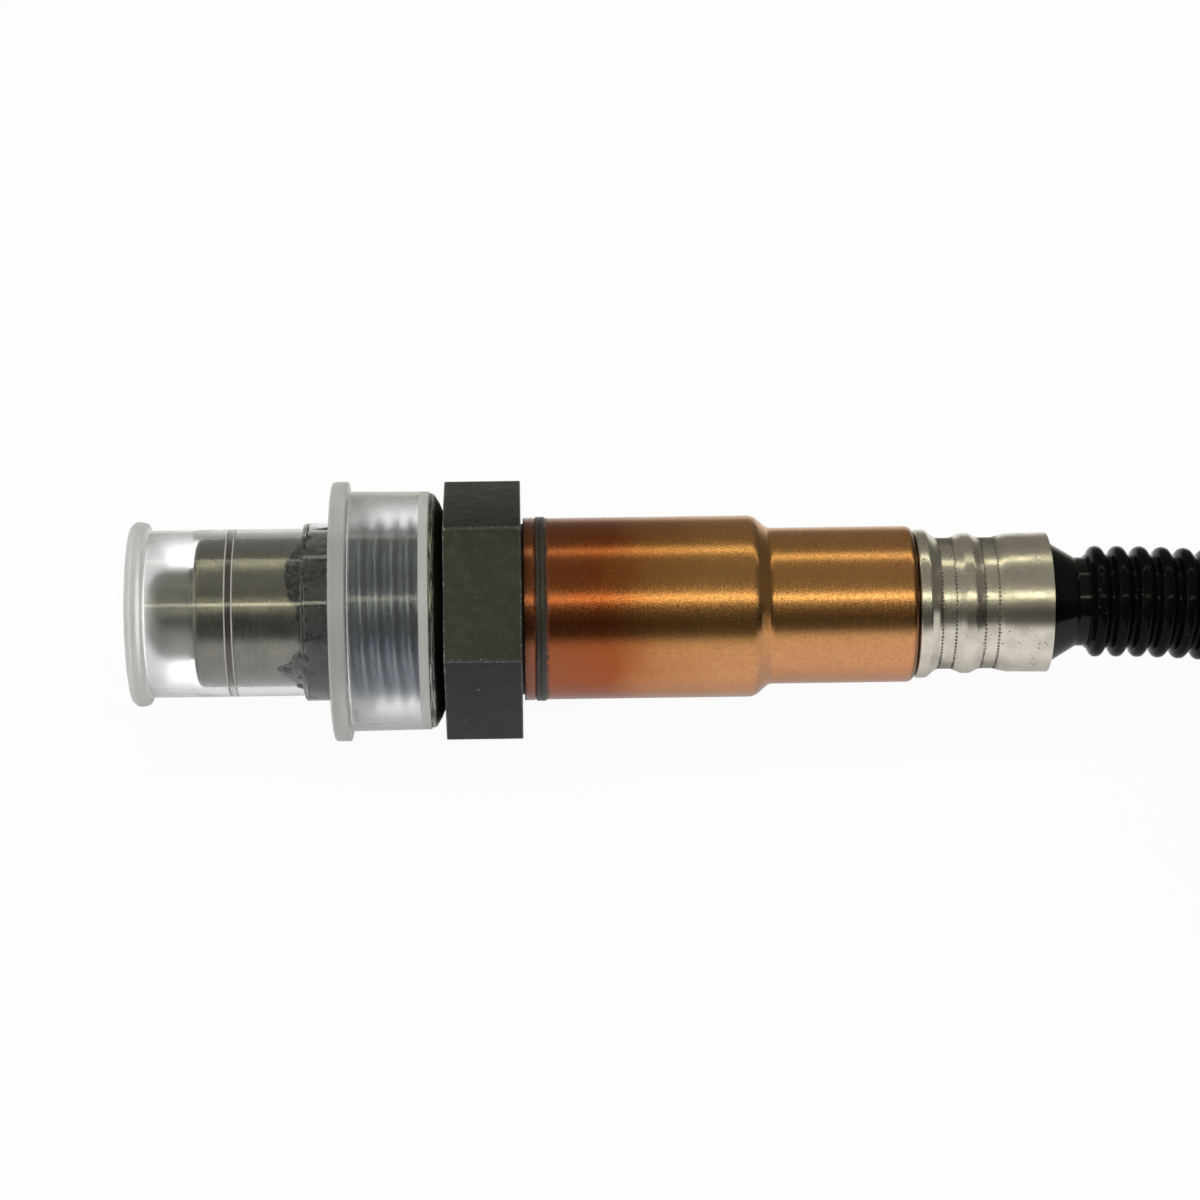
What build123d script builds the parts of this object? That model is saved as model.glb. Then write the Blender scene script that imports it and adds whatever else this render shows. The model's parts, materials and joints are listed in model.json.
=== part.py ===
"""Wideband exhaust oxygen sensor with its transit cap, lead and plug.

The sensor lies along X: tip towards -X, lead towards +X. The origin is on its axis, in the
plane of the gasket seat. Z is up, and the hexagon has two flats facing up and down.
"""

from build123d import *
from math import radians, tan
import os

# Driving dimensions, in millimetres.
fit = 0.05  # radial clearance of a piece in its seat

# Hexagon body
hex_flats = 22.0
hex_length = 7.4
hex_corner_radius = 0.85
thread_diameter = 18.0
thread_length = 10.0
thread_lead = 0.9
thread_relief_depth = 1.05
thread_relief_gap = 0.1
collar_length = 5.6
collar_wall = 1.7
collar_lip = 0.7
collar_lip_length = 0.5
ceramic_seat_depth = 4.0
tip_bore_diameter = 8.4

# Sealing ring, a folded steel washer
gasket_thickness = 1.4
gasket_reach = 2.5
gasket_bore_gap = 0.35
gasket_top_reach = 0.3
gasket_bulge_height = 0.4  # share of the thickness
gasket_bulge_reach = 0.58  # share of the way out
gasket_fold = 0.26
gasket_fold_share = 0.8

# Protection tubes over the sensing tip
tube_diameter = 14.4
tube_length = 14.0
tube_wall = 0.5
tube_corner = 0.8
spigot_length = 2.5
nose_diameter = 9.0
nose_wall = 0.4
nose_projection = 5.2
nose_dome_share = 0.9
slot_count = 8
slot_width = 1.0
slot_length = 1.5
nose_hole_diameter = 1.6
nose_hole_count = 6

# Transit cap
cap_gap = 0.1
cap_wall = 0.82
cap_end_room = 0.3
cap_end_wall = 0.8
cap_end_dish = 0.45
bead_height = 0.88
bead_width = 1.8
bead_front_share = 0.7
bead_back_share = 0.8
cap_collar_length = 2.8
cap_collar_step = 0.5
cap_collar_room = 0.5
cap_web = 0.7
flange_thickness = 1.6
flange_overhang = 0.94
skirt_room = 1.8
skirt_wall = 0.84
skirt_lip_depth = 0.25
skirt_lip_length = 0.9
grip_ring_width = 0.7
grip_ring_gap = 0.04
grip_ring_setback = 3.0

# Ceramic stack and sensing element
element_width = 4.6
element_thickness = 1.3
element_tip_room = 2.6
element_chamfer = 0.3
lower_ceramic_length = 6.0
talc_length = 4.0
upper_ceramic_head = 4.4
upper_ceramic_tail = 5.6
tail_diameter = 9.6

# Contact holder and terminals
holder_gap = 1.4
holder_length = 9.0
holder_diameter = 13.2
holder_spring_wall = 0.5
holder_spring_width = 4.0
holder_spring_fingers = 6
finger_width = 2.0
strip_thickness = 0.3
strip_width = 1.0
strip_ramp = 2.0
strip_lead = 0.6
barrel_length = 2.4
row_offset = 1.75

# Wires
wire_diameter = 1.6
wire_gap = 0.15

# Shell
shell_diameter = 17.6
shell_wall = 0.45
shell_standoff = 0.2
weld_rim = 1.0
weld_width = 1.1
weld_height = 0.13
weld_groove = 0.12
shell_large_length = 22.2
shell_shoulder_length = 1.45
shell_small_diameter = 15.14
shell_length = 37.7
shell_shoulder_radius = 1.5
shell_shoulder_inner_radius = 0.9
shell_end_radius = 1.6

# Crimp sleeve over the grommet
sleeve_wall = 0.45
sleeve_length = 12.9
sleeve_bead_rise = 0.84  # over the grooves, as are the next two
sleeve_bulge_rise = 0.44
sleeve_mouth_rise = 0.4
sleeve_bead_width = 1.15
groove_diameter = 12.72
groove_width = 1.3
first_groove = 2.3
second_groove = 6.4
sleeve_bead_radii = [0.65, 0.5]
sleeve_groove_radius = 0.3
sleeve_bulge_radius = 0.9

# Grommet
grommet_front_room = 0.6
grommet_cone_start = 0.4
grommet_cone = 2.4
neck_diameter = 8.62
neck_length = 1.05
grommet_edge_radius = 0.4
grommet_seam_radius = 0.02
grommet_cone_radius = 1.0
neck_edge_radius = 0.15

# Lead
conduit_diameter = 10.8
conduit_wall = 0.35
# Free points of the lead, from the neck to the plug: X, Y and height over the resting floor.
conduit_lay = [
    (8.0, 0.0, None),
    (23.0, 0.3, 10.63),
    (40.95, 1.9, 7.28),
    (60.3, 4.7, 5.4),
    (92.8, 7.4, 5.4),
    (120.0, -5.25, 5.4),
    (137.15, -26.8, 5.4),
    (144.1, -51.1, 5.4),
    (142.4, -72.15, 5.4),
    (137.0, -87.05, 5.4),
    (125.85, -102.75, 5.4),
    (104.2, -118.2, 5.4),
    (78.35, -122.6, 5.4),
    (56.25, -117.3, 5.4),
    (39.95, -106.05, 5.6),
    (28.75, -89.9, 7.6),
]
plug_x = 86.0
plug_entry_y = -58.0
plug_approach = 14.5

# Plug
plug_width = 27.0
plug_height = 17.0
plug_corner = 3.5
plug_wall = 1.8
socket_depth = 20.0
bulkhead = 6.0
crimp_chamber = 3.0
crimp_chamber_width = 12.0
crimp_chamber_height = 7.5
crimp_chamber_corner = 1.0
seal_width = 16.0
seal_height = 10.5
seal_corner = 2.0
seal_length = 6.0
rear_wall = 2.2
cover_plate = 2.0
cover_nose = 2.0
boot_wall = 1.8
boot_length = 9.0
clip_wall = 0.8
clip_width = 3.5
clip_slot = 1.75
pole_pitch = 3.5
pole_columns = 3
blade_width = 1.5
blade_thickness = 0.64
blade_reach = 9.0
pin_width = 1.8
pin_height = 1.2
lock_thickness = 2.5
latch_width = 8.0
latch_height = 1.6
latch_length = 3.0
latch_setback = 5.0
rib_width = 1.2
rib_height = 0.8
rib_inset = 8.0
resistor_length = 2.4
resistor_height = 1.2
resistor_depth = 1.0

# Shares of a run that the bends at its ends may take
end_run_share = 0.97
inner_run_share = 0.48
lead_run_share = 0.45

# Radii worked out from the driving dimensions
shell_bore = shell_diameter / 2 - shell_wall
shell_small_bore = shell_small_diameter / 2 - shell_wall
collar_radius = shell_bore - fit
body_bore = collar_radius - collar_wall
ceramic_radius = body_bore - fit
thread_radius = thread_diameter / 2
relief_radius = thread_radius - thread_relief_depth
tip_bore = tip_bore_diameter / 2
tube_radius = tube_diameter / 2
tube_bore = tube_radius - tube_wall
spigot_radius = tube_bore - fit
nose_radius = nose_diameter / 2
nose_bore = nose_radius - nose_wall
gasket_radius = thread_radius + gasket_reach
gasket_bore = relief_radius + gasket_bore_gap
cap_bore = tube_radius + cap_gap
cap_radius = cap_bore + cap_wall
cap_collar_radius = cap_radius + cap_collar_step
cap_collar_bore = cap_bore + cap_collar_room
skirt_bore = thread_radius + skirt_room
skirt_radius = skirt_bore + skirt_wall
flange_radius = skirt_radius + flange_overhang
tail_radius = tail_diameter / 2
holder_radius = holder_diameter / 2
groove_radius = groove_diameter / 2
grommet_radius = groove_radius - sleeve_wall - fit
neck_radius = neck_diameter / 2
conduit_radius = conduit_diameter / 2
wire_radius = wire_diameter / 2
wire_pitch = wire_diameter + wire_gap
barrel_radius = wire_radius - fit

# Stations along X
thread_end = -thread_length
spigot_end = thread_end - spigot_length
relief_start = -gasket_thickness - thread_relief_gap
tube_end = thread_end - tube_length
nose_end = tube_end - nose_projection
collar_end = hex_length + collar_length
lower_ceramic_end = lower_ceramic_length - ceramic_seat_depth
talc_end = lower_ceramic_end + talc_length
upper_head_end = talc_end + upper_ceramic_head
upper_tail_end = upper_head_end + upper_ceramic_tail
holder_start = upper_tail_end + holder_gap
holder_end = holder_start + holder_length
element_start = nose_end + element_tip_room
element_end = holder_end + strip_lead / 2
barrel_start = holder_end + strip_lead + strip_ramp
wire_start = barrel_start + barrel_length
shell_start = hex_length + shell_standoff
shell_large_end = shell_start + shell_large_length
shell_small_start = shell_large_end + shell_shoulder_length
shell_end = shell_start + shell_length
grommet_start = wire_start + grommet_front_room
sleeve_end = shell_end + sleeve_length
cone_start = sleeve_end + grommet_cone_start
cone_end = cone_start + grommet_cone
neck_end = cone_end + neck_length

# The cap's flange and the plug's underside rest on one floor.
floor = -max(flange_radius, hex_flats / 2)
plug_z = floor + plug_height / 2


def half_section(points):
    """Sketch of a turned piece's half section, from its (x, radius) corners."""
    with BuildSketch(Plane.XZ) as section:
        with BuildLine():
            Polyline(*points, close=True)
        make_face()
    return section.sketch


def turned(points, mode=Mode.ADD):
    """Add, or take away, what this half section sweeps round the axis."""
    revolve(half_section(points), axis=Axis.X, mode=mode)


def ring(start, end, inner, outer):
    return [(start, inner), (end, inner), (end, outer), (start, outer)]


def route_corners(points):
    """Radius at each inner corner of a lead: the largest that its two runs allow."""
    radii = []
    for here, corner, ahead in zip(points, points[1:], points[2:]):
        run = min((corner - here).length, (ahead - corner).length)
        turn = (corner - here).get_angle(ahead - corner)
        radii.append(lead_run_share * run / tan(radians(turn) / 2))
    return radii


def bends(points, wanted):
    """The wanted radius at each inner corner, less where two bends would meet on a run."""
    corners = [Vector(point) for point in points]
    last = len(corners) - 2
    radii = []
    for index in range(1, last + 1):
        before = corners[index] - corners[index - 1]
        after = corners[index + 1] - corners[index]
        room = min(
            before.length * (end_run_share if index == 1 else inner_run_share),
            after.length * (end_run_share if index == last else inner_run_share),
        )
        half_turn = radians(before.get_angle(after)) / 2
        radii.append(min(wanted[index - 1], room / tan(half_turn)))
    return radii


def rounded(start, outline, wanted, end):
    """Draw a closed half section whose outer line has rounded corners."""
    FilletPolyline(*outline, radius=bends(outline, wanted))
    Polyline(outline[-1], *end, *start, outline[0])


# Hexagon body: spigot, thread, hexagon and rear collar with the ceramic bore
with BuildPart() as hex_body:
    with BuildSketch(Plane.YZ):
        RegularPolygon(hex_flats / 2, 6, major_radius=False)
    extrude(amount=hex_length)
    fillet(hex_body.edges().filter_by(Axis.X), hex_corner_radius)
    turned(
        [
            (spigot_end, tip_bore),
            (spigot_end, spigot_radius),
            (thread_end, spigot_radius),
            (thread_end, thread_radius - thread_lead),
            (thread_end + thread_lead, thread_radius),
            (relief_start - thread_relief_depth, thread_radius),
            (relief_start, relief_radius),
            (hex_length / 2, relief_radius),
            (hex_length / 2, collar_radius),
            (collar_end, collar_radius),
            (collar_end, tip_bore),
        ]
    )
    turned(
        [
            (spigot_end, 0),
            (spigot_end, tip_bore),
            (-ceramic_seat_depth, tip_bore),
            (-ceramic_seat_depth, body_bore),
            (collar_end - collar_lip_length, body_bore),
            (collar_end - collar_lip_length, body_bore - collar_lip),
            (collar_end, body_bore - collar_lip),
            (collar_end, 0),
        ],
        mode=Mode.SUBTRACT,
    )

# Sealing ring: the outer edge is the fold, and the slit between its leaves opens inwards
with BuildPart() as sealing_ring:
    with BuildSketch(Plane.XZ):
        with BuildLine():
            edge_top = thread_radius + gasket_top_reach
            bulge = edge_top + (gasket_radius - edge_top) * gasket_bulge_reach
            Line((-gasket_thickness, gasket_bore), (-gasket_thickness, gasket_radius))
            ThreePointArc(
                (-gasket_thickness, gasket_radius),
                (-gasket_thickness * gasket_bulge_height, bulge),
                (0, edge_top),
            )
            Polyline((0, edge_top), (0, gasket_bore), (-gasket_thickness, gasket_bore))
        make_face()
    revolve(axis=Axis.X)
    with BuildSketch(Plane.XZ):
        with Locations((-gasket_thickness / 2, gasket_bore)):
            Rectangle(gasket_fold, 2 * (edge_top - gasket_bore) * gasket_fold_share)
    revolve(axis=Axis.X, mode=Mode.SUBTRACT)

# Outer protection tube: its end wall lets the nose through, and slots vent it
with BuildPart() as outer_protection_tube:
    with BuildSketch(Plane.XZ):
        with BuildLine():
            outline = [
                (tube_end, nose_radius + fit),
                (tube_end, tube_radius),
                (thread_end, tube_radius),
            ]
            rounded(
                [(tube_end + tube_wall, nose_radius + fit)],
                outline,
                [tube_corner],
                [(thread_end, tube_bore), (tube_end + tube_wall, tube_bore)],
            )
        make_face()
    revolve(axis=Axis.X)
    slot_radius = (tube_bore + nose_radius + fit) / 2
    with BuildSketch(Plane.YZ.offset(tube_end)):
        with PolarLocations(slot_radius, slot_count):
            SlotOverall(slot_length, slot_width)
    extrude(amount=tube_wall, mode=Mode.SUBTRACT)

# Inner protection tube: flanged mouth on the spigot, domed nose with gas holes
with BuildPart() as inner_protection_tube:
    with BuildSketch(Plane.XZ):
        with BuildLine():
            outline = [
                (nose_end, 0),
                (nose_end, nose_radius),
                (spigot_end - nose_wall, nose_radius),
            ]
            dome = nose_dome_share * min(nose_radius, nose_projection)
            FilletPolyline(*outline, radius=dome)
            Polyline(
                (spigot_end - nose_wall, nose_radius),
                (spigot_end - nose_wall, spigot_radius),
                (spigot_end, spigot_radius),
                (spigot_end, nose_bore),
            )
            FilletPolyline(
                (spigot_end, nose_bore),
                (nose_end + nose_wall, nose_bore),
                (nose_end + nose_wall, 0),
                radius=dome - nose_wall,
            )
            Line((nose_end + nose_wall, 0), (nose_end, 0))
        make_face()
    revolve(axis=Axis.X)
    hole_station = (tube_end + spigot_end) / 2
    with Locations(Plane((hole_station, 0, 0), x_dir=(0, 1, 0), z_dir=(1, 0, 0))):
        with PolarLocations(0, nose_hole_count):
            Cylinder(
                nose_hole_diameter / 2,
                nose_diameter,
                rotation=(0, 90, 0),
                align=(Align.CENTER, Align.CENTER, Align.MIN),
                mode=Mode.SUBTRACT,
            )
    with Locations((nose_end, 0, 0)):
        Cylinder(
            nose_hole_diameter / 2,
            4 * nose_wall,
            rotation=(0, 90, 0),
            mode=Mode.SUBTRACT,
        )

# Transit cap: beaded blind tube, collar, flange and skirt, moulded in one piece
with BuildPart() as protective_cap:
    cap_end = nose_end - cap_end_room - cap_end_wall
    collar_back = thread_end - cap_gap - cap_web
    collar_front = collar_back - cap_collar_length
    flange_back = collar_back + flange_thickness
    cap_mouth = -gasket_thickness
    turned(
        [
            (cap_end + cap_end_dish, 0),
            (cap_end, cap_bore),
            (cap_end, cap_radius + bead_height * bead_front_share),
            (cap_end + bead_width / 3, cap_radius + bead_height),
            (cap_end + bead_width, cap_radius + bead_height * bead_back_share),
            (cap_end + bead_width, cap_radius),
            (collar_front, cap_radius),
            (collar_front, cap_collar_radius - cap_collar_step / 2),
            (collar_front + cap_collar_step / 2, cap_collar_radius),
            (collar_back, cap_collar_radius),
            (collar_back, flange_radius - cap_gap),
            (collar_back + cap_gap, flange_radius),
            (flange_back, flange_radius),
            (flange_back, skirt_radius),
            (cap_mouth, skirt_radius),
            (cap_mouth, skirt_bore + skirt_lip_depth),
            (cap_mouth - skirt_lip_length, skirt_bore + skirt_lip_depth),
            (cap_mouth - skirt_lip_length, skirt_bore),
            (flange_back, skirt_bore),
            (flange_back, thread_radius + cap_gap),
            (collar_back + cap_web, thread_radius + cap_gap),
            (collar_back + cap_web, cap_collar_bore),
            (collar_front + cap_collar_step, cap_collar_bore),
            (collar_front + cap_collar_step, cap_bore),
            (nose_end - cap_end_room, cap_bore),
            (nose_end - cap_end_room, 0),
        ]
    )
    grip_start = tube_end + grip_ring_setback - grip_ring_width / 2
    turned(
        ring(
            grip_start,
            grip_start + grip_ring_width,
            tube_radius + grip_ring_gap,
            cap_bore + cap_wall / 2,
        )
    )

# Anti-seize compound packed behind the cap's collar
with BuildPart() as thread_compound:
    turned(
        ring(
            collar_front + cap_collar_step,
            collar_back + cap_web,
            tube_radius + fit / 2,
            cap_collar_bore - fit / 2,
        )
    )

# Ceramic stack in the body's bore, each piece seated on the one before
element_slot = (element_width + 2 * fit, element_thickness + 2 * fit)

with BuildPart() as lower_ceramic:
    turned(ring(-ceramic_seat_depth, lower_ceramic_end, 0, ceramic_radius))
    with BuildSketch(Plane.YZ.offset(-ceramic_seat_depth)):
        Rectangle(*element_slot)
    extrude(amount=lower_ceramic_length, mode=Mode.SUBTRACT)

with BuildPart() as talc_ring:
    turned(ring(lower_ceramic_end, talc_end, 0, ceramic_radius))
    with BuildSketch(Plane.YZ.offset(lower_ceramic_end)):
        Rectangle(*element_slot)
    extrude(amount=talc_length, mode=Mode.SUBTRACT)

with BuildPart() as upper_ceramic:
    turned(
        [
            (talc_end, 0),
            (talc_end, ceramic_radius),
            (upper_head_end, ceramic_radius),
            (upper_head_end, tail_radius),
            (upper_tail_end, tail_radius),
            (upper_tail_end, 0),
        ]
    )
    with BuildSketch(Plane.YZ.offset(talc_end)):
        Rectangle(*element_slot)
    extrude(amount=upper_tail_end - talc_end, mode=Mode.SUBTRACT)

with BuildPart() as retaining_ring:
    turned(
        ring(
            upper_head_end,
            collar_end - collar_lip_length,
            tail_radius + fit,
            ceramic_radius,
        )
    )

with BuildPart() as sensing_element:
    with BuildSketch(Plane.YZ.offset(element_start)):
        Rectangle(element_width, element_thickness)
    extrude(amount=element_end - element_start)
    chamfer(sensing_element.edges().filter_by(Axis.Y).group_by(Axis.X)[0], element_chamfer)

# Contact strips: three on the element's upper face and two on its lower face. A strip is
# drawn in side view: along the element, up the ramp, into its barrel
contact_face = element_thickness / 2
strip_top = contact_face + strip_thickness
strip_seat = row_offset - strip_thickness / 2
strip_outline = [
    (holder_start + strip_lead, contact_face),
    (holder_end + strip_lead, contact_face),
    (barrel_start, strip_seat),
    (barrel_start, strip_seat + strip_thickness),
    (holder_end + strip_lead, strip_top),
    (holder_start + strip_lead, strip_top),
]
terminal_places = [(-wire_pitch, 1), (0.0, 1), (wire_pitch, 1)]
terminal_places += [(-wire_pitch / 2, -1), (wire_pitch / 2, -1)]

terminal_strips = []
for number, (across, side) in enumerate(terminal_places, start=1):
    with BuildPart() as terminal_strip:
        with BuildSketch(Plane((0, across, 0), x_dir=(1, 0, 0), z_dir=(0, -side, 0))):
            with BuildLine():
                Polyline(*strip_outline, close=True)
            make_face()
        extrude(amount=strip_width / 2, both=True)
        with BuildSketch(Plane.YZ.offset(barrel_start)):
            with Locations((across, side * row_offset)):
                Circle(barrel_radius)
        extrude(amount=barrel_length)
    terminal_strip.part.label = f"terminal_strip_{number}"
    terminal_strips.append(terminal_strip.part)

# Contact holder: two ceramic half cylinders that close over the element and its strips
holders = {}
for name, side in (("contact_holder_upper", 1), ("contact_holder_lower", -1)):
    with BuildPart() as holder:
        with BuildSketch(Plane.YZ.offset(holder_start)):
            Circle(holder_radius)
            with Locations((0, -side * holder_radius)):
                Rectangle(2 * holder_radius, 2 * holder_radius, mode=Mode.SUBTRACT)
            Rectangle(*element_slot, mode=Mode.SUBTRACT)
            groove_top = contact_face + strip_thickness + fit
            for across, row in terminal_places:
                if row == side:
                    with Locations((across, side * groove_top / 2)):
                        Rectangle(strip_width + 2 * fit, groove_top, mode=Mode.SUBTRACT)
        extrude(amount=holder_length)
    holder.part.label = name
    holders[name] = holder.part

# Holder spring: a band with sprung fingers that centre the holder in the shell
with BuildPart() as holder_spring:
    spring_start = holder_start + (holder_length - holder_spring_width) / 2
    band = holder_radius + fit
    turned(
        ring(
            spring_start,
            spring_start + holder_spring_width,
            band,
            band + holder_spring_wall,
        )
    )
    finger_reach = shell_bore - fit - band - holder_spring_wall / 2
    with BuildSketch(Plane.YZ.offset(spring_start)):
        with PolarLocations(
            band + holder_spring_wall / 2 + finger_reach / 2, holder_spring_fingers
        ):
            Rectangle(finger_reach, finger_width)
    extrude(amount=holder_spring_width / 2)
    with BuildSketch(Plane.YZ.offset(spring_start)):
        Circle(shell_bore - fit)
        Circle(band, mode=Mode.SUBTRACT)
    extrude(amount=holder_spring_width, mode=Mode.INTERSECT)

# Shell: deep-drawn sleeve with a weld ring, a shoulder and a rounded end
with BuildPart() as shell_sleeve:
    large = shell_diameter / 2
    small = shell_small_diameter / 2
    weld_start = shell_start + weld_rim
    weld_end = weld_start + weld_width
    end_hole = grommet_radius + fit
    shoulder_radii = [
        shell_shoulder_radius,
        shell_shoulder_inner_radius,
        shell_end_radius,
    ]
    inner_radii = [
        shell_end_radius - shell_wall,
        shell_shoulder_inner_radius + shell_wall,
        shell_shoulder_radius - shell_wall,
    ]
    outer_line = [
        (weld_end + weld_groove, large),
        (shell_large_end, large),
        (shell_small_start, small),
        (shell_end, small),
        (shell_end, end_hole),
    ]
    inner_line = [
        (shell_end - shell_wall, end_hole),
        (shell_end - shell_wall, shell_small_bore),
        (shell_small_start, shell_small_bore),
        (shell_large_end, shell_bore),
        (shell_start, shell_bore),
    ]
    with BuildSketch(Plane.XZ):
        with BuildLine():
            FilletPolyline(
                *outer_line, radius=bends(outer_line, shoulder_radii)
            )
            Line(outer_line[-1], inner_line[0])
            FilletPolyline(
                *inner_line,
                radius=bends(inner_line, inner_radii),
            )
            Polyline(
                inner_line[-1],
                (shell_start, large + weld_height),
                (weld_start - weld_groove, large + weld_height),
                (weld_start, large - weld_groove / 2),
                (weld_start + weld_groove, large + weld_height),
                (weld_end, large + weld_height),
                outer_line[0],
            )
        make_face()
    revolve(axis=Axis.X)

# Grommet: rubber plug in the shell and the crimp sleeve, with a cone, a neck and wire bores
with BuildPart() as grommet:
    plug_radius = shell_small_bore - fit
    plug_end = shell_end - shell_wall - fit
    bevel = min(shell_end_radius - shell_wall, plug_radius - grommet_radius - fit)
    grommet_radii = [
        grommet_edge_radius,
        grommet_edge_radius,
        grommet_seam_radius,
        grommet_seam_radius,
        grommet_cone_radius,
        grommet_edge_radius,
        neck_edge_radius,
    ]
    outline = [
        (grommet_start, 0),
        (grommet_start, plug_radius),
        (plug_end - bevel, plug_radius),
        (plug_end, plug_radius - bevel),
        (plug_end, grommet_radius),
        (cone_start, grommet_radius),
        (cone_end, neck_radius),
        (neck_end, neck_radius),
        (neck_end, 0),
    ]
    with BuildSketch(Plane.XZ):
        with BuildLine():
            FilletPolyline(*outline, radius=bends(outline, grommet_radii))
            Line(outline[-1], outline[0])
        make_face()
    revolve(axis=Axis.X)
    with BuildSketch(Plane.YZ.offset(grommet_start)):
        for across, side in terminal_places:
            with Locations((across, side * row_offset)):
                Circle(wire_radius)
    extrude(amount=neck_end - grommet_start, mode=Mode.SUBTRACT)

# Crimp sleeve: rolled bead, two crimped grooves with a bulge between, flared mouth
with BuildPart() as crimp_sleeve:
    bead = groove_radius + sleeve_bead_rise
    bulge = groove_radius + sleeve_bulge_rise
    mouth = groove_radius + sleeve_mouth_rise
    first = shell_end + first_groove
    second = shell_end + second_groove
    crest = (first + groove_width + second) / 2
    flank = (second - first - groove_width) / 5
    sleeve_line = [
        (shell_end, groove_radius),
        (shell_end, bead),
        (shell_end + sleeve_bead_width, bead),
        (first, groove_radius),
        (first + groove_width, groove_radius),
        (crest - flank, bulge),
        (crest + flank, bulge),
        (second, groove_radius),
        (second + groove_width, groove_radius),
        (second + groove_width + flank, mouth),
        (sleeve_end, mouth),
    ]
    groove_bends = [sleeve_groove_radius, sleeve_groove_radius]
    bulge_bends = [sleeve_bulge_radius, sleeve_bulge_radius]
    bend_radii = sleeve_bead_radii + groove_bends + bulge_bends + groove_bends
    bend_radii.append(sleeve_bulge_radius)
    inside = [(x, radius - sleeve_wall) for x, radius in sleeve_line]
    with BuildSketch(Plane.XZ):
        with BuildLine():
            FilletPolyline(*sleeve_line, radius=bends(sleeve_line, bend_radii))
            Line(sleeve_line[-1], inside[-1])
            FilletPolyline(*inside, radius=bends(inside, bend_radii))
            Line(inside[0], sleeve_line[0])
        make_face()
    revolve(axis=Axis.X)

# Wires through the grommet, from the terminal barrels to the end of the neck
wires = []
for number, (across, side) in enumerate(terminal_places, start=1):
    with BuildPart() as wire:
        with BuildSketch(Plane.YZ.offset(wire_start)):
            with Locations((across, side * row_offset)):
                Circle(wire_radius)
        extrude(amount=neck_end - wire_start)
    wire.part.label = f"wire_{number}"
    wires.append(wire.part)

# Lead: corrugated conduit, drawn as one plain tube along straight runs and tangent arcs
route = [Vector(neck_end, 0, 0)]
for ahead, across, height in conduit_lay:
    route.append(Vector(neck_end + ahead, across, 0 if height is None else floor + height))
route.append(Vector(plug_x, plug_entry_y - plug_approach, plug_z))
route.append(Vector(plug_x, plug_entry_y, plug_z))
route_radii = route_corners(route)

with BuildPart() as conduit:
    with BuildLine() as conduit_path:
        FilletPolyline(*route, radius=route_radii)
    with BuildSketch(Plane(route[0], z_dir=(1, 0, 0))):
        Circle(conduit_radius)
    sweep()

print("lead radii", [round(radius, 1) for radius in route_radii])
path_length = sum(edge.length for edge in conduit_path.edges())
print("lead length", round(path_length, 1))
ideal = Circle(conduit_radius, mode=Mode.PRIVATE).area * path_length
print("lead volume against section times length", round(conduit.part.volume / ideal, 5))


# Plug: stations are measured along +Y from the end of the conduit
def plug_plane(distance):
    return Plane(
        (plug_x, plug_entry_y + distance, plug_z), x_dir=(-1, 0, 0), z_dir=(0, 1, 0)
    )


cover_end = cover_plate
seal_start = cover_end + cover_nose
seal_end = seal_start + seal_length
chamber_end = seal_end + crimp_chamber
bulkhead_end = chamber_end + bulkhead
plug_end_station = bulkhead_end + socket_depth
socket_width = plug_width - 2 * plug_wall
socket_height = plug_height - 2 * plug_wall
rear_width = seal_width + 2 * rear_wall
rear_height = seal_height + 2 * rear_wall
first_column = -pole_pitch * (pole_columns - 1) / 2
poles = [
    (first_column + column * pole_pitch, side * pole_pitch / 2)
    for side in (1, -1)
    for column in range(pole_columns)
]
wired_poles = poles[:-1]
socket_corner = plug_corner - plug_wall / 2

with BuildPart() as connector_housing:
    with BuildSketch(plug_plane(cover_end)):
        RectangleRounded(rear_width, rear_height, seal_corner + rear_wall / 2)
    extrude(amount=chamber_end - cover_end)
    with BuildSketch(plug_plane(chamber_end)):
        RectangleRounded(plug_width, plug_height, plug_corner)
    extrude(amount=plug_end_station - chamber_end)
    with BuildSketch(plug_plane(plug_end_station)):
        RectangleRounded(socket_width, socket_height, socket_corner)
    extrude(amount=-socket_depth, mode=Mode.SUBTRACT)
    with BuildSketch(plug_plane(cover_end)):
        RectangleRounded(seal_width, seal_height, seal_corner)
    extrude(amount=seal_end - cover_end, mode=Mode.SUBTRACT)
    with BuildSketch(plug_plane(seal_end)):
        RectangleRounded(
            crimp_chamber_width, crimp_chamber_height, crimp_chamber_corner
        )
    extrude(amount=crimp_chamber, mode=Mode.SUBTRACT)
    with BuildSketch(plug_plane(chamber_end)):
        with Locations(*poles):
            Rectangle(pin_width + 2 * fit, pin_height + 2 * fit)
    extrude(amount=bulkhead, mode=Mode.SUBTRACT)
    latch_end = plug_end_station - latch_setback
    with BuildSketch(Plane.YZ.offset(plug_x)):
        with BuildLine():
            Polyline(
                (plug_entry_y + latch_end, plug_z + plug_height / 2),
                (plug_entry_y + latch_end - latch_length, plug_z + plug_height / 2),
                (
                    plug_entry_y + latch_end - latch_length,
                    plug_z + plug_height / 2 + latch_height,
                ),
                close=True,
            )
        make_face()
    extrude(amount=latch_width / 2, both=True)
    with BuildSketch(plug_plane(chamber_end)):
        for side in (1, -1):
            with Locations((side * rib_inset, (plug_height + rib_height) / 2)):
                Rectangle(rib_width, rib_height)
    extrude(amount=plug_end_station - chamber_end)

# Terminal lock: comb plate in the socket, seated on the bulkhead
with BuildPart() as terminal_lock:
    with BuildSketch(plug_plane(bulkhead_end)):
        RectangleRounded(
            socket_width - 2 * fit, socket_height - 2 * fit, socket_corner - fit
        )
        with Locations(*poles):
            Rectangle(
                blade_width + 2 * fit, blade_thickness + 2 * fit, mode=Mode.SUBTRACT
            )
    extrude(amount=lock_thickness)

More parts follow.
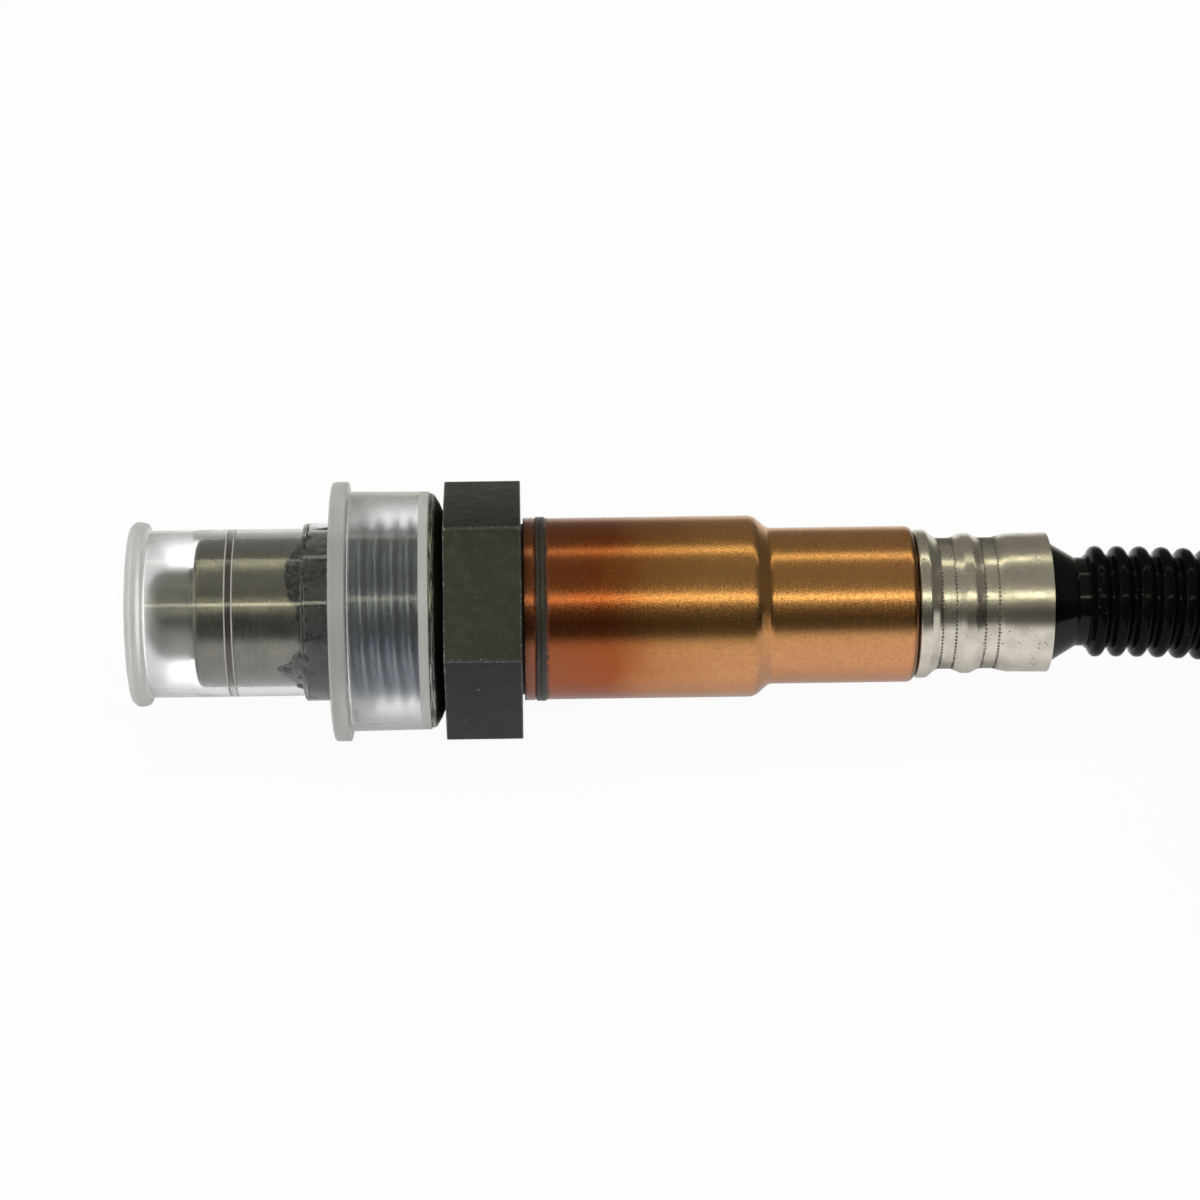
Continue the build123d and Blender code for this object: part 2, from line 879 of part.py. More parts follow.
# Six pins: a body in the bulkhead, a blade in the socket, a barrel where a wire arrives
with BuildPart() as connector_pins:
    with BuildSketch(plug_plane(chamber_end)):
        with Locations(*poles):
            Rectangle(pin_width, pin_height)
    extrude(amount=bulkhead)
    with BuildSketch(plug_plane(bulkhead_end)):
        with Locations(*poles):
            Rectangle(blade_width, blade_thickness)
    extrude(amount=lock_thickness + blade_reach)
    with BuildSketch(plug_plane(seal_end)):
        with Locations(*poles):
            Circle(barrel_radius)
    extrude(amount=crimp_chamber)

# Calibration resistor on the bulkhead's rear face, between the two rows
with BuildPart() as trim_resistor:
    with BuildSketch(plug_plane(chamber_end - resistor_depth)):
        with Locations((pole_pitch / 2, 0)):
            Rectangle(resistor_length, resistor_height)
    extrude(amount=resistor_depth)

with BuildPart() as wire_seal:
    with BuildSketch(plug_plane(seal_start)):
        RectangleRounded(
            seal_width - 2 * fit, seal_height - 2 * fit, seal_corner - fit
        )
        with Locations(*wired_poles):
            Circle(wire_radius, mode=Mode.SUBTRACT)
    extrude(amount=seal_length)

with BuildPart() as connector_wires:
    with BuildSketch(plug_plane(0)):
        with Locations(*wired_poles):
            Circle(wire_radius)
    extrude(amount=seal_end)

# Rear cover: nose in the seal cavity, plate on the housing, boot round the conduit's end
with BuildPart() as rear_cover:
    window_radius = conduit_radius - conduit_wall
    with BuildSketch(plug_plane(0)):
        RectangleRounded(rear_width, rear_height, seal_corner + rear_wall / 2)
    extrude(amount=cover_plate)
    with BuildSketch(plug_plane(cover_end)):
        RectangleRounded(
            seal_width - 2 * fit, seal_height - 2 * fit, seal_corner - fit
        )
    extrude(amount=cover_nose)
    with BuildSketch(plug_plane(-boot_length)):
        Circle(conduit_radius + fit + boot_wall)
        Circle(conduit_radius + fit, mode=Mode.SUBTRACT)
    extrude(amount=boot_length)
    with BuildSketch(plug_plane(0)):
        Circle(window_radius)
    extrude(amount=seal_start, mode=Mode.SUBTRACT)

# Spring clip round the boot
with BuildPart() as conduit_clip:
    with BuildSketch(plug_plane(-(boot_length + clip_width) / 2)):
        Circle(conduit_radius + 2 * fit + boot_wall + clip_wall)
        Circle(conduit_radius + 2 * fit + boot_wall, mode=Mode.SUBTRACT)
        with Locations((0, conduit_radius + boot_wall)):
            Rectangle(clip_slot, 4 * clip_wall, mode=Mode.SUBTRACT)
    extrude(amount=clip_width)

# Write one STEP file for each piece
os.makedirs("parts", exist_ok=True)
named = {
    "hex_body": hex_body.part,
    "sealing_ring": sealing_ring.part,
    "outer_protection_tube": outer_protection_tube.part,
    "inner_protection_tube": inner_protection_tube.part,
    "protective_cap": protective_cap.part,
    "thread_compound": thread_compound.part,
    "lower_ceramic": lower_ceramic.part,
    "talc_ring": talc_ring.part,
    "upper_ceramic": upper_ceramic.part,
    "retaining_ring": retaining_ring.part,
    "sensing_element": sensing_element.part,
    "holder_spring": holder_spring.part,
    "shell_sleeve": shell_sleeve.part,
    "grommet": grommet.part,
    "crimp_sleeve": crimp_sleeve.part,
    "conduit": conduit.part,
    "connector_housing": connector_housing.part,
    "terminal_lock": terminal_lock.part,
    "connector_pins": connector_pins.part,
    "trim_resistor": trim_resistor.part,
    "wire_seal": wire_seal.part,
    "connector_wires": connector_wires.part,
    "rear_cover": rear_cover.part,
    "conduit_clip": conduit_clip.part,
    **holders,
}
named.update({piece.label: piece for piece in terminal_strips + wires})
for name, piece in named.items():
    piece.label = name
    export_step(piece, f"parts/{name}.step")
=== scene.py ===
"""Looks of a wideband exhaust oxygen sensor with its transit cap, lead and plug.

Lengths are written in millimetres along the sensor's axis and as radii round it, and MM turns
them into Blender's metres. The axis is X, with the tip towards -X, and Z is up.
"""

import json
import math
import random

import bpy
from mathutils import Matrix, Vector


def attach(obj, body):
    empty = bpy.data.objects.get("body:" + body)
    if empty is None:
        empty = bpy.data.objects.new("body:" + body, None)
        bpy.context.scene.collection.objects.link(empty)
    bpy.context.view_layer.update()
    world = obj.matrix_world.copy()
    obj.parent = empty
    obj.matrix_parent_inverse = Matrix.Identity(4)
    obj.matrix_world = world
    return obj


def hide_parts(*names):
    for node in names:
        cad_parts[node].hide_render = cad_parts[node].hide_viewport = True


MM = 0.001
FULL_TURN = 2 * math.pi
random.seed(7)

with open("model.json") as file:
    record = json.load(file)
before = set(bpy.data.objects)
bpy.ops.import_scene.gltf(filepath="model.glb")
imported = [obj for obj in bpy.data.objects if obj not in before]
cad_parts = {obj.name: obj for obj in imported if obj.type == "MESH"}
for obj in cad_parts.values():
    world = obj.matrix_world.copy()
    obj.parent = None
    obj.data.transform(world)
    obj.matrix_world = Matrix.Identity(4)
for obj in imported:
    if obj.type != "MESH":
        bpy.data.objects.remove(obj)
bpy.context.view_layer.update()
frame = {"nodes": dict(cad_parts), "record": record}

# Radii and lengths that pieces share, in millimetres
FLOOR = -12.58
NOSE_RADIUS = 4.5
NOSE_WALL = 0.4
SPIGOT_RADIUS = 6.65
TUBE_RADIUS = 7.2
TUBE_WALL = 0.5
CAP_BORE = 7.3
CAP_RADIUS = 8.12
COLLAR_BORE = 7.8
COLLAR_RADIUS = 8.62
SKIRT_BORE = 10.8
SKIRT_RADIUS = 11.64
FLANGE_RADIUS = 12.58
THREAD_RADIUS = 9.0
THREAD_DEPTH = 0.92
THREAD_PITCH = 1.5
GASKET_BORE = 8.35
HEX_FLATS = 22.0
HEX_LENGTH = 7.4
SHELL_RADIUS = 8.8
SHELL_SMALL_RADIUS = 7.57
SHELL_WALL = 0.45
GROOVE_RADIUS = 6.36
SLEEVE_WALL = 0.45
NECK_RADIUS = 4.31

# Stations along the axis, in millimetres, from the tip to the lead
CAP_END = -30.3
NOSE_END = -29.2
BEAD_BACK = -28.45
TUBE_END = -24.0
RIDGE_START = -20.85  # the cap's bore touches the tube along this ridge
RIDGE_END = -20.2
COLLAR_START = -13.6
COLLAR_BORE_START = -13.1
SPIGOT_START = -12.5
FLANGE_START = -10.8
COLLAR_BORE_END = -10.1
THREAD_START = -10.0
FLANGE_END = -9.2
LIP_START = -2.3
GASKET_START = -1.4
SHELL_START = 7.6
WELD_START = 8.7
WELD_END = 9.85
SHOULDER_START = 29.8
SHOULDER_END = 31.25
SHELL_END = 45.3
CRIMP_LINES = (47.6, 48.9, 51.7, 53.0)
SLEEVE_END = 58.2
NECK_END = 62.05

# Vertices round a turned piece, and round the sleeve with its crimp teeth
STEPS = 160
SLEEVE_STEPS = 200


# ---------------------------------------------------------------- modelling helpers


def deselect():
    if bpy.context.object and bpy.context.object.mode != "OBJECT":
        bpy.ops.object.mode_set(mode="OBJECT")
    bpy.ops.object.select_all(action="DESELECT")


def choose(*pieces):
    """Select these pieces alone, and make the last one active."""
    deselect()
    for piece in pieces:
        piece.select_set(True)
    bpy.context.view_layer.objects.active = pieces[-1]


def edit_all():
    bpy.ops.object.mode_set(mode="EDIT")
    bpy.ops.mesh.select_mode(type="VERT")
    bpy.ops.mesh.select_all(action="SELECT")


def leave_edit():
    bpy.ops.object.mode_set(mode="OBJECT")
    return bpy.context.object


def pick(piece, wanted, kind="VERT"):
    """Select, in edit mode, the vertices, edges or faces that wanted() accepts."""
    bpy.ops.object.mode_set(mode="EDIT")
    bpy.ops.mesh.select_mode(type=kind)
    bpy.ops.mesh.select_all(action="DESELECT")
    bpy.ops.object.mode_set(mode="OBJECT")
    mesh = piece.data
    parts = {"VERT": mesh.vertices, "EDGE": mesh.edges, "FACE": mesh.polygons}[kind]
    for part in parts:
        part.select = wanted(part)
    bpy.ops.object.mode_set(mode="EDIT")


def soften(corners, segments=5):
    """Round the corners of a half section. A corner is (x, radius) or (x, radius, bend)."""
    outline = []
    count = len(corners)
    for index, corner in enumerate(corners):
        here = Vector(corner[:2])
        bend = corner[2] if len(corner) > 2 else 0
        if not bend:
            outline.append(tuple(here))
            continue
        back = Vector(corners[index - 1][:2]) - here
        ahead = Vector(corners[(index + 1) % count][:2]) - here
        half = back.angle(ahead) / 2
        reach = min(bend / math.tan(half), 0.48 * back.length, 0.48 * ahead.length)
        back.normalize()
        ahead.normalize()
        bend = reach * math.tan(half)
        centre = here + (back + ahead).normalized() * (bend / math.sin(half))
        first = here + back * reach - centre
        last = here + ahead * reach - centre
        turn = first.angle_signed(last)
        for step in range(segments + 1):
            spoke = first.copy()
            spoke.rotate(Matrix.Rotation(-turn * step / segments, 2))
            outline.append(tuple(centre + spoke))
    return outline


def draw(name, outline, closed):
    """Draw a line through (x, radius) points, vertex by vertex, and stay in edit mode."""
    deselect()
    bpy.ops.mesh.primitive_plane_add(size=MM)
    bpy.context.object.name = name
    edit_all()
    bpy.ops.mesh.merge(type="CENTER")
    bpy.ops.transform.translate(value=(outline[0][0] * MM, 0, outline[0][1] * MM))
    ahead = outline[1:] + outline[:1] if closed else outline[1:]
    for (x, radius), (next_x, next_radius) in zip(outline, ahead):
        move = ((next_x - x) * MM, 0, (next_radius - radius) * MM)
        bpy.ops.mesh.extrude_region_move(TRANSFORM_OT_translate={"value": move})


def turned(name, outline, steps=STEPS, closed=True):
    """Draw a half section and spin it round the X axis."""
    draw(name, outline, closed)
    bpy.ops.mesh.select_all(action="SELECT")
    bpy.ops.mesh.remove_doubles(threshold=1e-7)
    bpy.ops.mesh.spin(steps=steps, angle=FULL_TURN, center=(0, 0, 0), axis=(1, 0, 0))
    bpy.ops.mesh.select_all(action="SELECT")
    bpy.ops.mesh.remove_doubles(threshold=2e-6)
    bpy.ops.mesh.normals_make_consistent(inside=False)
    piece = leave_edit()
    bpy.ops.object.shade_smooth_by_angle(angle=math.radians(35))
    return piece


def modify(piece, kind, **settings):
    """Add a modifier to a piece and apply it."""
    choose(piece)
    modifier = piece.modifiers.new(kind.title(), kind)
    for setting, value in settings.items():
        setattr(modifier, setting, value)
    bpy.ops.object.modifier_apply(modifier=modifier.name)


def dent(piece, depth, size):
    """Push a piece's surface in and out a little, as handling does."""
    clouds = bpy.data.textures.new(piece.name + "_dents", "CLOUDS")
    clouds.noise_scale = size * MM
    clouds.noise_depth = 0
    modify(
        piece,
        "DISPLACE",
        texture=clouds,
        texture_coords="LOCAL",
        strength=depth * MM,
        mid_level=0.5,
    )


def place(piece, body_slot, *nodes):
    """Fix a finished piece to the sensor, in place of its CAD nodes."""
    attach(piece, "root")
    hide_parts(*nodes)


# ---------------------------------------------------------------- finishes


class Value:
    """A socket of a finish. Arithmetic on it adds Math nodes."""

    def __init__(self, finish, socket):
        self.finish = finish
        self.socket = socket

    def maths(self, operation, first, second=0.0):
        inputs = {0: first, 1: second}
        return self.finish.node("ShaderNodeMath", {"operation": operation}, inputs)

    def __add__(self, other):
        return self.maths("ADD", self, other)

    __radd__ = __add__

    def __mul__(self, other):
        return self.maths("MULTIPLY", self, other)

    __rmul__ = __mul__

    def __sub__(self, other):
        return self.maths("SUBTRACT", self, other)

    def __rsub__(self, other):
        return self.maths("SUBTRACT", other, self)

    def __pow__(self, other):
        return self.maths("POWER", self, other)

    def __abs__(self):
        return self.maths("ABSOLUTE", self)

    def sine(self):
        return self.maths("SINE", self)

    def angle_to(self, other):
        return self.maths("ARCTAN2", self, other)

    def at_most(self, other):
        return self.maths("MINIMUM", self, other)

    def at_least(self, other):
        return self.maths("MAXIMUM", self, other)

    def rise(self, start, end, low=0.0, high=1.0):
        """Smooth step from low at start to high at end."""
        ends = {"From Min": start, "From Max": end, "To Min": low, "To Max": high}
        return self.finish.node(
            "ShaderNodeMapRange",
            {"interpolation_type": "SMOOTHSTEP"},
            {"Value": self, **ends},
        )

    def band(self, start, end, blur):
        """1 between start and end, with blurred edges."""
        return self.rise(start - blur, start + blur) * self.rise(end + blur, end - blur)


class Finish:
    """A material, or the world, as a tree of nodes."""

    def __init__(self, name, world=None):
        self.owner = world or bpy.data.materials.new(name)
        self.owner.use_nodes = True
        self.tree = self.owner.node_tree
        self.tree.nodes.clear()

    def node(self, kind, settings=None, inputs=None, output=0):
        """Add a node with these settings, and link or set these inputs."""
        made = self.tree.nodes.new(kind)
        for setting, value in (settings or {}).items():
            setattr(made, setting, value)
        for key, value in (inputs or {}).items():
            socket = made.inputs[key]
            if isinstance(value, Value):
                self.tree.links.new(value.socket, socket)
                continue
            if isinstance(value, tuple) and len(value) < len(socket.default_value):
                value = (*value, 1.0)
            socket.default_value = value
        return Value(self, made.outputs[output])

    def mixed(self, factor, first, second):
        inputs = {0: factor, 1: first, 2: second}
        return self.node("ShaderNodeMixShader", None, inputs)

    def where(self):
        """Place on the piece, in millimetres."""
        inputs = {0: self.node("ShaderNodeTexCoord", output="Object"), "Scale": 1 / MM}
        return self.node("ShaderNodeVectorMath", {"operation": "SCALE"}, inputs)

    def axis(self, index):
        return self.node("ShaderNodeSeparateXYZ", None, {0: self.where()}, index)

    def radius(self):
        y, z = self.axis(1), self.axis(2)
        return (y * y + z * z) ** 0.5

    def turn(self):
        """Angle round the X axis, in radians."""
        return self.axis(2).angle_to(self.axis(1))

    def stretched(self, stretch, shift=(0.0, 0.0, 0.0)):
        return self.node(
            "ShaderNodeVectorMath",
            {"operation": "MULTIPLY_ADD"},
            {0: self.where(), 1: stretch, 2: shift},
        )

    def noise(self, stretch, detail=2.0, roughness=0.5, shift=(0.0, 0.0, 0.0)):
        """Noise with this many patches to a millimetre along each axis."""
        inputs = {
            "Vector": self.stretched(stretch, shift),
            "Scale": 1.0,
            "Detail": detail,
            "Roughness": roughness,
        }
        return self.node("ShaderNodeTexNoise", None, inputs)

    def specks(self, per_mm, size, shift=(0.0, 0.0, 0.0)):
        """1 in scattered round specks, of this share of their cell."""
        inputs = {"Vector": self.stretched((per_mm,) * 3, shift), "Scale": 1.0}
        return self.node("ShaderNodeTexVoronoi", None, inputs).rise(size, size * 0.6)

    def colour(self, red, green, blue):
        return self.node("ShaderNodeCombineColor", None, {0: red, 1: green, 2: blue})

    def blend(self, factor, first, second, how="MIX"):
        settings = {"data_type": "RGBA", "blend_type": how}
        return self.node("ShaderNodeMix", settings, {0: factor, 6: first, 7: second}, 2)

    def ramp(self, factor, stops):
        """Colours at these positions, with straight blends between them."""
        made = self.node("ShaderNodeValToRGB", None, {0: factor})
        elements = made.socket.node.color_ramp.elements
        while len(elements) < len(stops):
            elements.new(1.0)
        for element, (position, colour) in zip(elements, stops):
            element.position = position
            element.color = (*colour, 1.0)
        return made

    def bump(self, height, distance):
        inputs = {"Height": height, "Distance": distance * MM, "Strength": 1.0}
        return self.node("ShaderNodeBump", None, inputs)

    def principled(self, **inputs):
        named = {name.replace("_", " "): value for name, value in inputs.items()}
        return self.node("ShaderNodeBsdfPrincipled", None, named)

    def background_rays(self):
        """Masks of the rays that meet the background straight on, and mirrored."""
        camera, glossy, passing, depth, passed = [
            self.node("ShaderNodeLightPath", output=name)
            for name in (
                "Is Camera Ray",
                "Is Glossy Ray",
                "Is Transmission Ray",
                "Ray Depth",
                "Transmission Depth",
            )
        ]
        # A ray that only went through clear pieces has no other bounce. Inside one
        # wall it bends twice; off a piece behind the wall it bends four times.
        turned_back = (depth - passed).at_most(1.0) * passed.rise(2.0, 3.0, 0.65, 1.0)
        seen = (camera + passing) * (1.0 - turned_back)
        return seen, (glossy + passing * turned_back).at_most(1.0)

    def shown(self, shader, kind="ShaderNodeOutputMaterial"):
        out = self.tree.nodes.new(kind)
        self.tree.links.new(shader.socket, out.inputs["Surface"])
        return self.owner


def grey(level):
    return (level, level, level)


def plain_metal(name, colour, roughness):
    """Drawn or turned metal with fine lathe lines."""
    finish = Finish(name)
    lines = finish.noise((6.0, 0.6, 0.6), 3.0, 0.6)
    mottle = finish.noise((0.6, 0.6, 0.6), 3.0)
    dark = tuple(level * 0.78 for level in colour)
    tint = finish.blend(mottle.rise(0.3, 0.7), colour, dark)
    return finish.shown(
        finish.principled(
            Base_Color=tint,
            Metallic=1.0,
            Roughness=lines.rise(0.2, 0.8, roughness * 0.8, roughness * 1.25),
            Normal=finish.bump(lines, 0.01),
        )
    )


def moulded(name, colour, roughness=0.4, grain=2.2, gloss=0.5, relief=0.012):
    """Moulded plastic or rubber: fine grain, and a little dust."""
    finish = Finish(name)
    fine = finish.noise(grey(grain * 4), 2.0)
    broad = finish.noise(grey(0.25), 3.0)
    light = tuple(min(1.0, level * 1.35 + 0.001) for level in colour)
    tint = finish.blend(broad.rise(0.35, 0.7), colour, light)
    return finish.shown(
        finish.principled(
            Base_Color=tint,
            Roughness=broad.rise(0.3, 0.7, roughness * 0.85, roughness * 1.2),
            Specular_IOR_Level=gloss,
            Normal=finish.bump(fine, relief),
        )
    )


def cap_plastic():
    """Clear moulded plastic: milky where it is thick, rubbed where it is handled."""
    finish = Finish("cap_plastic")
    x, radius = finish.axis(0), finish.radius()
    bead = x.rise(BEAD_BACK + 0.25, BEAD_BACK - 0.25) * radius.rise(7.9, 8.4)
    flange = x.band(FLANGE_START, FLANGE_END, 0.06) * radius.rise(9.3, 9.9)
    skirt = x.rise(FLANGE_END - 0.1, FLANGE_END + 0.1)
    lip = x.rise(LIP_START - 0.1, LIP_START + 0.05)
    collar = x.band(COLLAR_START, FLANGE_START, 0.05)
    over_tip = x.band(TUBE_END, COLLAR_START, 0.4)
    # The ridge in the bore: bright where it starts and ends, dull where it touches
    lines = x.band(RIDGE_START - 0.05, RIDGE_START + 0.03, 0.03)
    lines = lines + x.band(RIDGE_END, RIDGE_END + 0.08, 0.03)
    contact = x.band(RIDGE_START + 0.07, RIDGE_END - 0.04, 0.05)
    # The bore is rougher than the outside, so only what touches it shows sharply
    bore = radius.rise(7.75, 7.6) * x.rise(TUBE_END + 0.4, TUBE_END - 0.6)
    bore = bore + skirt * radius.rise(11.25, 11.1) * 0.6
    # Compound smeared on the collar's bore, all round but along its top
    wall = x.band(COLLAR_BORE_START - 0.15, COLLAR_BORE_END, 0.1)
    wall = wall * radius.rise(7.95, 7.85)
    below = (finish.axis(2) * 0.92 + finish.axis(1) * 0.38) * (-1 / COLLAR_BORE)
    smear = finish.noise(grey(1.6), 4.0, 0.7)
    smear = wall * (below + (smear - 0.5) * 0.9).rise(-0.85, -0.7)
    grains = finish.ramp(
        finish.noise(grey(2.6), 5.0, 0.75), [(0.38, grey(0.012)), (0.66, grey(0.2))]
    )
    edgewise = finish.node("ShaderNodeLayerWeight", None, {"Blend": 0.5}, 1)
    haze = edgewise.rise(0.35, 0.85)
    cloud = finish.noise((0.3, 0.3, 0.3), 3.0)
    rub = finish.noise((2.0, 0.5, 0.5), 2.0, 0.5)
    milky = bead * 0.5 + flange * 0.7 + lip * 0.6 + collar * 0.03 + lines * 0.85
    milky = milky + skirt * (haze * 0.35 + 0.03) + haze * 0.05 + contact * 0.12 + smear
    milky = (milky + (cloud - 0.5) * 0.03).at_least(0.0).at_most(0.9)
    # The wall seen edge on, with painted shade: greyer over the tip, and darkest along its
    # top
    behind = x.rise(TUBE_END - 0.4, TUBE_END + 0.4)
    edge = finish.blend(behind, grey(0.96), (0.64, 0.64, 0.63))
    top = over_tip * finish.axis(2).rise(3.0, 7.0)
    edge = finish.blend(top, edge, (0.3, 0.295, 0.275))
    clear = finish.principled(
        Base_Color=finish.blend(
            edgewise.rise(0.42, 0.6) * (1.0 - skirt), (0.97, 0.975, 0.975), edge
        ),
        Roughness=rub.rise(0.3, 0.8, 0.03, 0.06)
        + bore.at_most(1.0) * 0.33
        + skirt * 0.09
        + over_tip * 0.04
        + (bead + flange) * 0.2,
        Transmission_Weight=1.0,
        IOR=1.44,
        Normal=finish.bump(cloud, 0.01),
    )
    white = finish.blend(cloud, (0.86, 0.86, 0.87), (0.92, 0.92, 0.94))
    # Painted shade: the flange's rim is darker along the side that lies towards the front
    painted_rim_shade = (finish.axis(2) * 0.38 - finish.axis(1) * 0.93).rise(6.3, 10.7)
    rim = radius.rise(FLANGE_RADIUS - 0.38, FLANGE_RADIUS - 0.23)
    painted_rim_shade = painted_rim_shade * finish.axis(2).rise(-9.0, 0.0) * rim
    white = finish.blend(flange * painted_rim_shade, white, (0.62, 0.64, 0.65))
    white = finish.blend(contact, white, (0.05, 0.035, 0.025))
    cloudy = finish.principled(
        Base_Color=finish.blend(smear, white, grains),
        Roughness=0.45,
        Normal=finish.bump(rub, 0.01),
    )
    through = finish.node("ShaderNodeBsdfTranslucent", None, {0: (0.85, 0.86, 0.86)})
    return finish.shown(
        finish.mixed(milky, clear, finish.mixed(0.35, cloudy, through))
    )


def tip_steel():
    """Drawn stainless tube, dull and olive, with streaks and a little staining."""
    finish = Finish("tip_steel")
    z = finish.axis(2)
    streaks = finish.noise((5.0, 0.5, 0.5), 4.0, 0.65)
    stains = finish.noise((0.4, 0.4, 0.4), 4.0)
    stained = stains.rise(0.35, 0.7)
    tint = finish.blend(stained, (0.215, 0.205, 0.165), (0.15, 0.145, 0.118))
    tint = finish.blend(streaks.rise(0.45, 0.8) * 0.4, tint, (0.28, 0.262, 0.205))
    # Painted light and shade: lighter along the top, darker along the bottom
    tint = finish.blend(z.rise(3.5, 6.0) * 0.5, tint, (0.36, 0.35, 0.29))
    tint = finish.blend(z.rise(-1.0, -3.0) * 0.35, tint, grey(0.06))
    # A brown ring where the cap's ridge touches
    contact = finish.axis(0).band(RIDGE_START + 0.05, RIDGE_END - 0.04, 0.04)
    tint = finish.blend(contact * 0.9, tint, (0.09, 0.055, 0.035))
    return finish.shown(
        finish.principled(
            Base_Color=tint,
            Metallic=1.0 - contact * 0.6,
            Roughness=streaks.rise(0.2, 0.8, 0.25, 0.36),
            Normal=finish.bump(streaks, 0.012),
        )
    )


def paste():
    """Dark granular compound."""
    finish = Finish("thread_compound")
    grains = finish.noise(grey(2.6), 5.0, 0.75)
    lumps = finish.noise(grey(1.2), 3.0)
    tint = finish.ramp(
        grains, [(0.38, grey(0.01)), (0.5, (0.043, 0.045, 0.045)), (0.66, grey(0.2))]
    )
    return finish.shown(
        finish.principled(
            Base_Color=tint,
            Roughness=0.62,
            Specular_IOR_Level=0.3,
            Normal=finish.bump(grains + lumps, 0.12),
        )
    )


def thread_steel():
    """Blue-grey plated thread."""
    finish = Finish("thread_steel")
    lines = finish.noise((4.0, 0.7, 0.7), 3.0, 0.6)
    tint = finish.blend(lines.rise(0.3, 0.8), (0.1, 0.135, 0.185), (0.27, 0.33, 0.4))
    crest = finish.radius().rise(8.5, 8.85)
    tint = finish.blend(crest * 0.5, tint, (0.5, 0.54, 0.58))
    return finish.shown(
        finish.principled(
            Base_Color=tint,
            Metallic=0.95,
            Roughness=lines.rise(0.2, 0.8, 0.28, 0.4),
            Normal=finish.bump(lines, 0.004),
        )
    )


def blackened_steel():
    """Black oxide on a milled hexagon: brushed along the axis, with small knocks."""
    finish = Finish("blackened_steel")
    brush = finish.noise((0.5, 9.0, 9.0), 3.0, 0.7)
    cross = finish.noise((9.0, 0.8, 0.8), 3.0, 0.7)
    patches = finish.noise((0.35, 0.35, 0.35), 4.0)
    z = finish.axis(2)
    # Painted light and shade: olive on the upper faces, blue-black on the lower ones, plain
    # black on top; the lighter patches follow the same faces
    upper = z.rise(-0.3, 0.3)
    oxide = finish.blend(upper, (0.0065, 0.0065, 0.0095), (0.024, 0.0265, 0.015))
    oxide = finish.blend(z.rise(10.7, 10.9), oxide, (0.004, 0.004, 0.003))
    blotches = finish.noise((0.9, 1.3, 1.3), 5.0, 0.7)
    bloom = finish.blend(upper, (0.02, 0.02, 0.024), (0.05, 0.052, 0.038))
    tint = finish.blend(patches.rise(0.4, 0.72) * 0.4, oxide, bloom)
    tint = finish.blend(blotches.rise(0.46, 0.68) * 0.55, tint, bloom)
    tint = finish.blend(brush.rise(0.5, 0.8) * 0.4, tint, grey(0.05))
    knocks = finish.specks(0.6, 0.09) * finish.noise(grey(0.8), 2.0).rise(0.45, 0.6)
    tint = finish.blend(knocks * 0.7, tint, (0.22, 0.23, 0.2))
    return finish.shown(
        finish.principled(
            Base_Color=tint,
            Metallic=0.1,
            Specular_IOR_Level=0.3,
            Roughness=patches.rise(0.3, 0.7, 0.4, 0.5),
            Normal=finish.bump(brush + cross * 0.6, 0.016),
        )
    )


def worn_edge():
    """Hexagon edges where the black is rubbed off in specks."""
    finish = Finish("worn_edge")
    chips = finish.noise(grey(2.6), 4.0, 0.75)
    dots = finish.noise(grey(7.0), 2.0, 0.7, (3.0, 5.0, 1.0))
    rim = abs(finish.axis(0) - HEX_LENGTH / 2).rise(3.2, 3.5, 0.4, 1.0)
    bare = chips.rise(0.5, 0.64) * dots.rise(0.45, 0.6) * rim
    return finish.shown(
        finish.principled(
            Base_Color=finish.blend(bare, grey(0.035), (0.62, 0.6, 0.46)),
            Metallic=bare * 0.9,
            Roughness=0.38,
            Normal=finish.bump(chips, 0.02),
        )
    )


def ring_black():
    """Folded washer: a bright worn rim, and painted shade, nearly black, where it faces the
    hexagon.
    """
    finish = Finish("ring_black")
    lines = finish.noise((9.0, 0.5, 0.5), 3.0, 0.7)
    rim = finish.axis(0).rise(-0.78, -0.95)
    # Painted shade: nearly black on the side towards the hexagon
    black = finish.blend(lines, grey(0.003), grey(0.008))
    bare = finish.blend(lines.rise(0.42, 0.6), (0.05, 0.05, 0.045), (0.4, 0.4, 0.35))
    return finish.shown(
        finish.principled(
            Base_Color=finish.blend(rim, black, bare),
            Metallic=rim * 0.9,
            Roughness=0.38,
            Specular_IOR_Level=0.3,
            Normal=finish.bump(lines, 0.008),
        )
    )


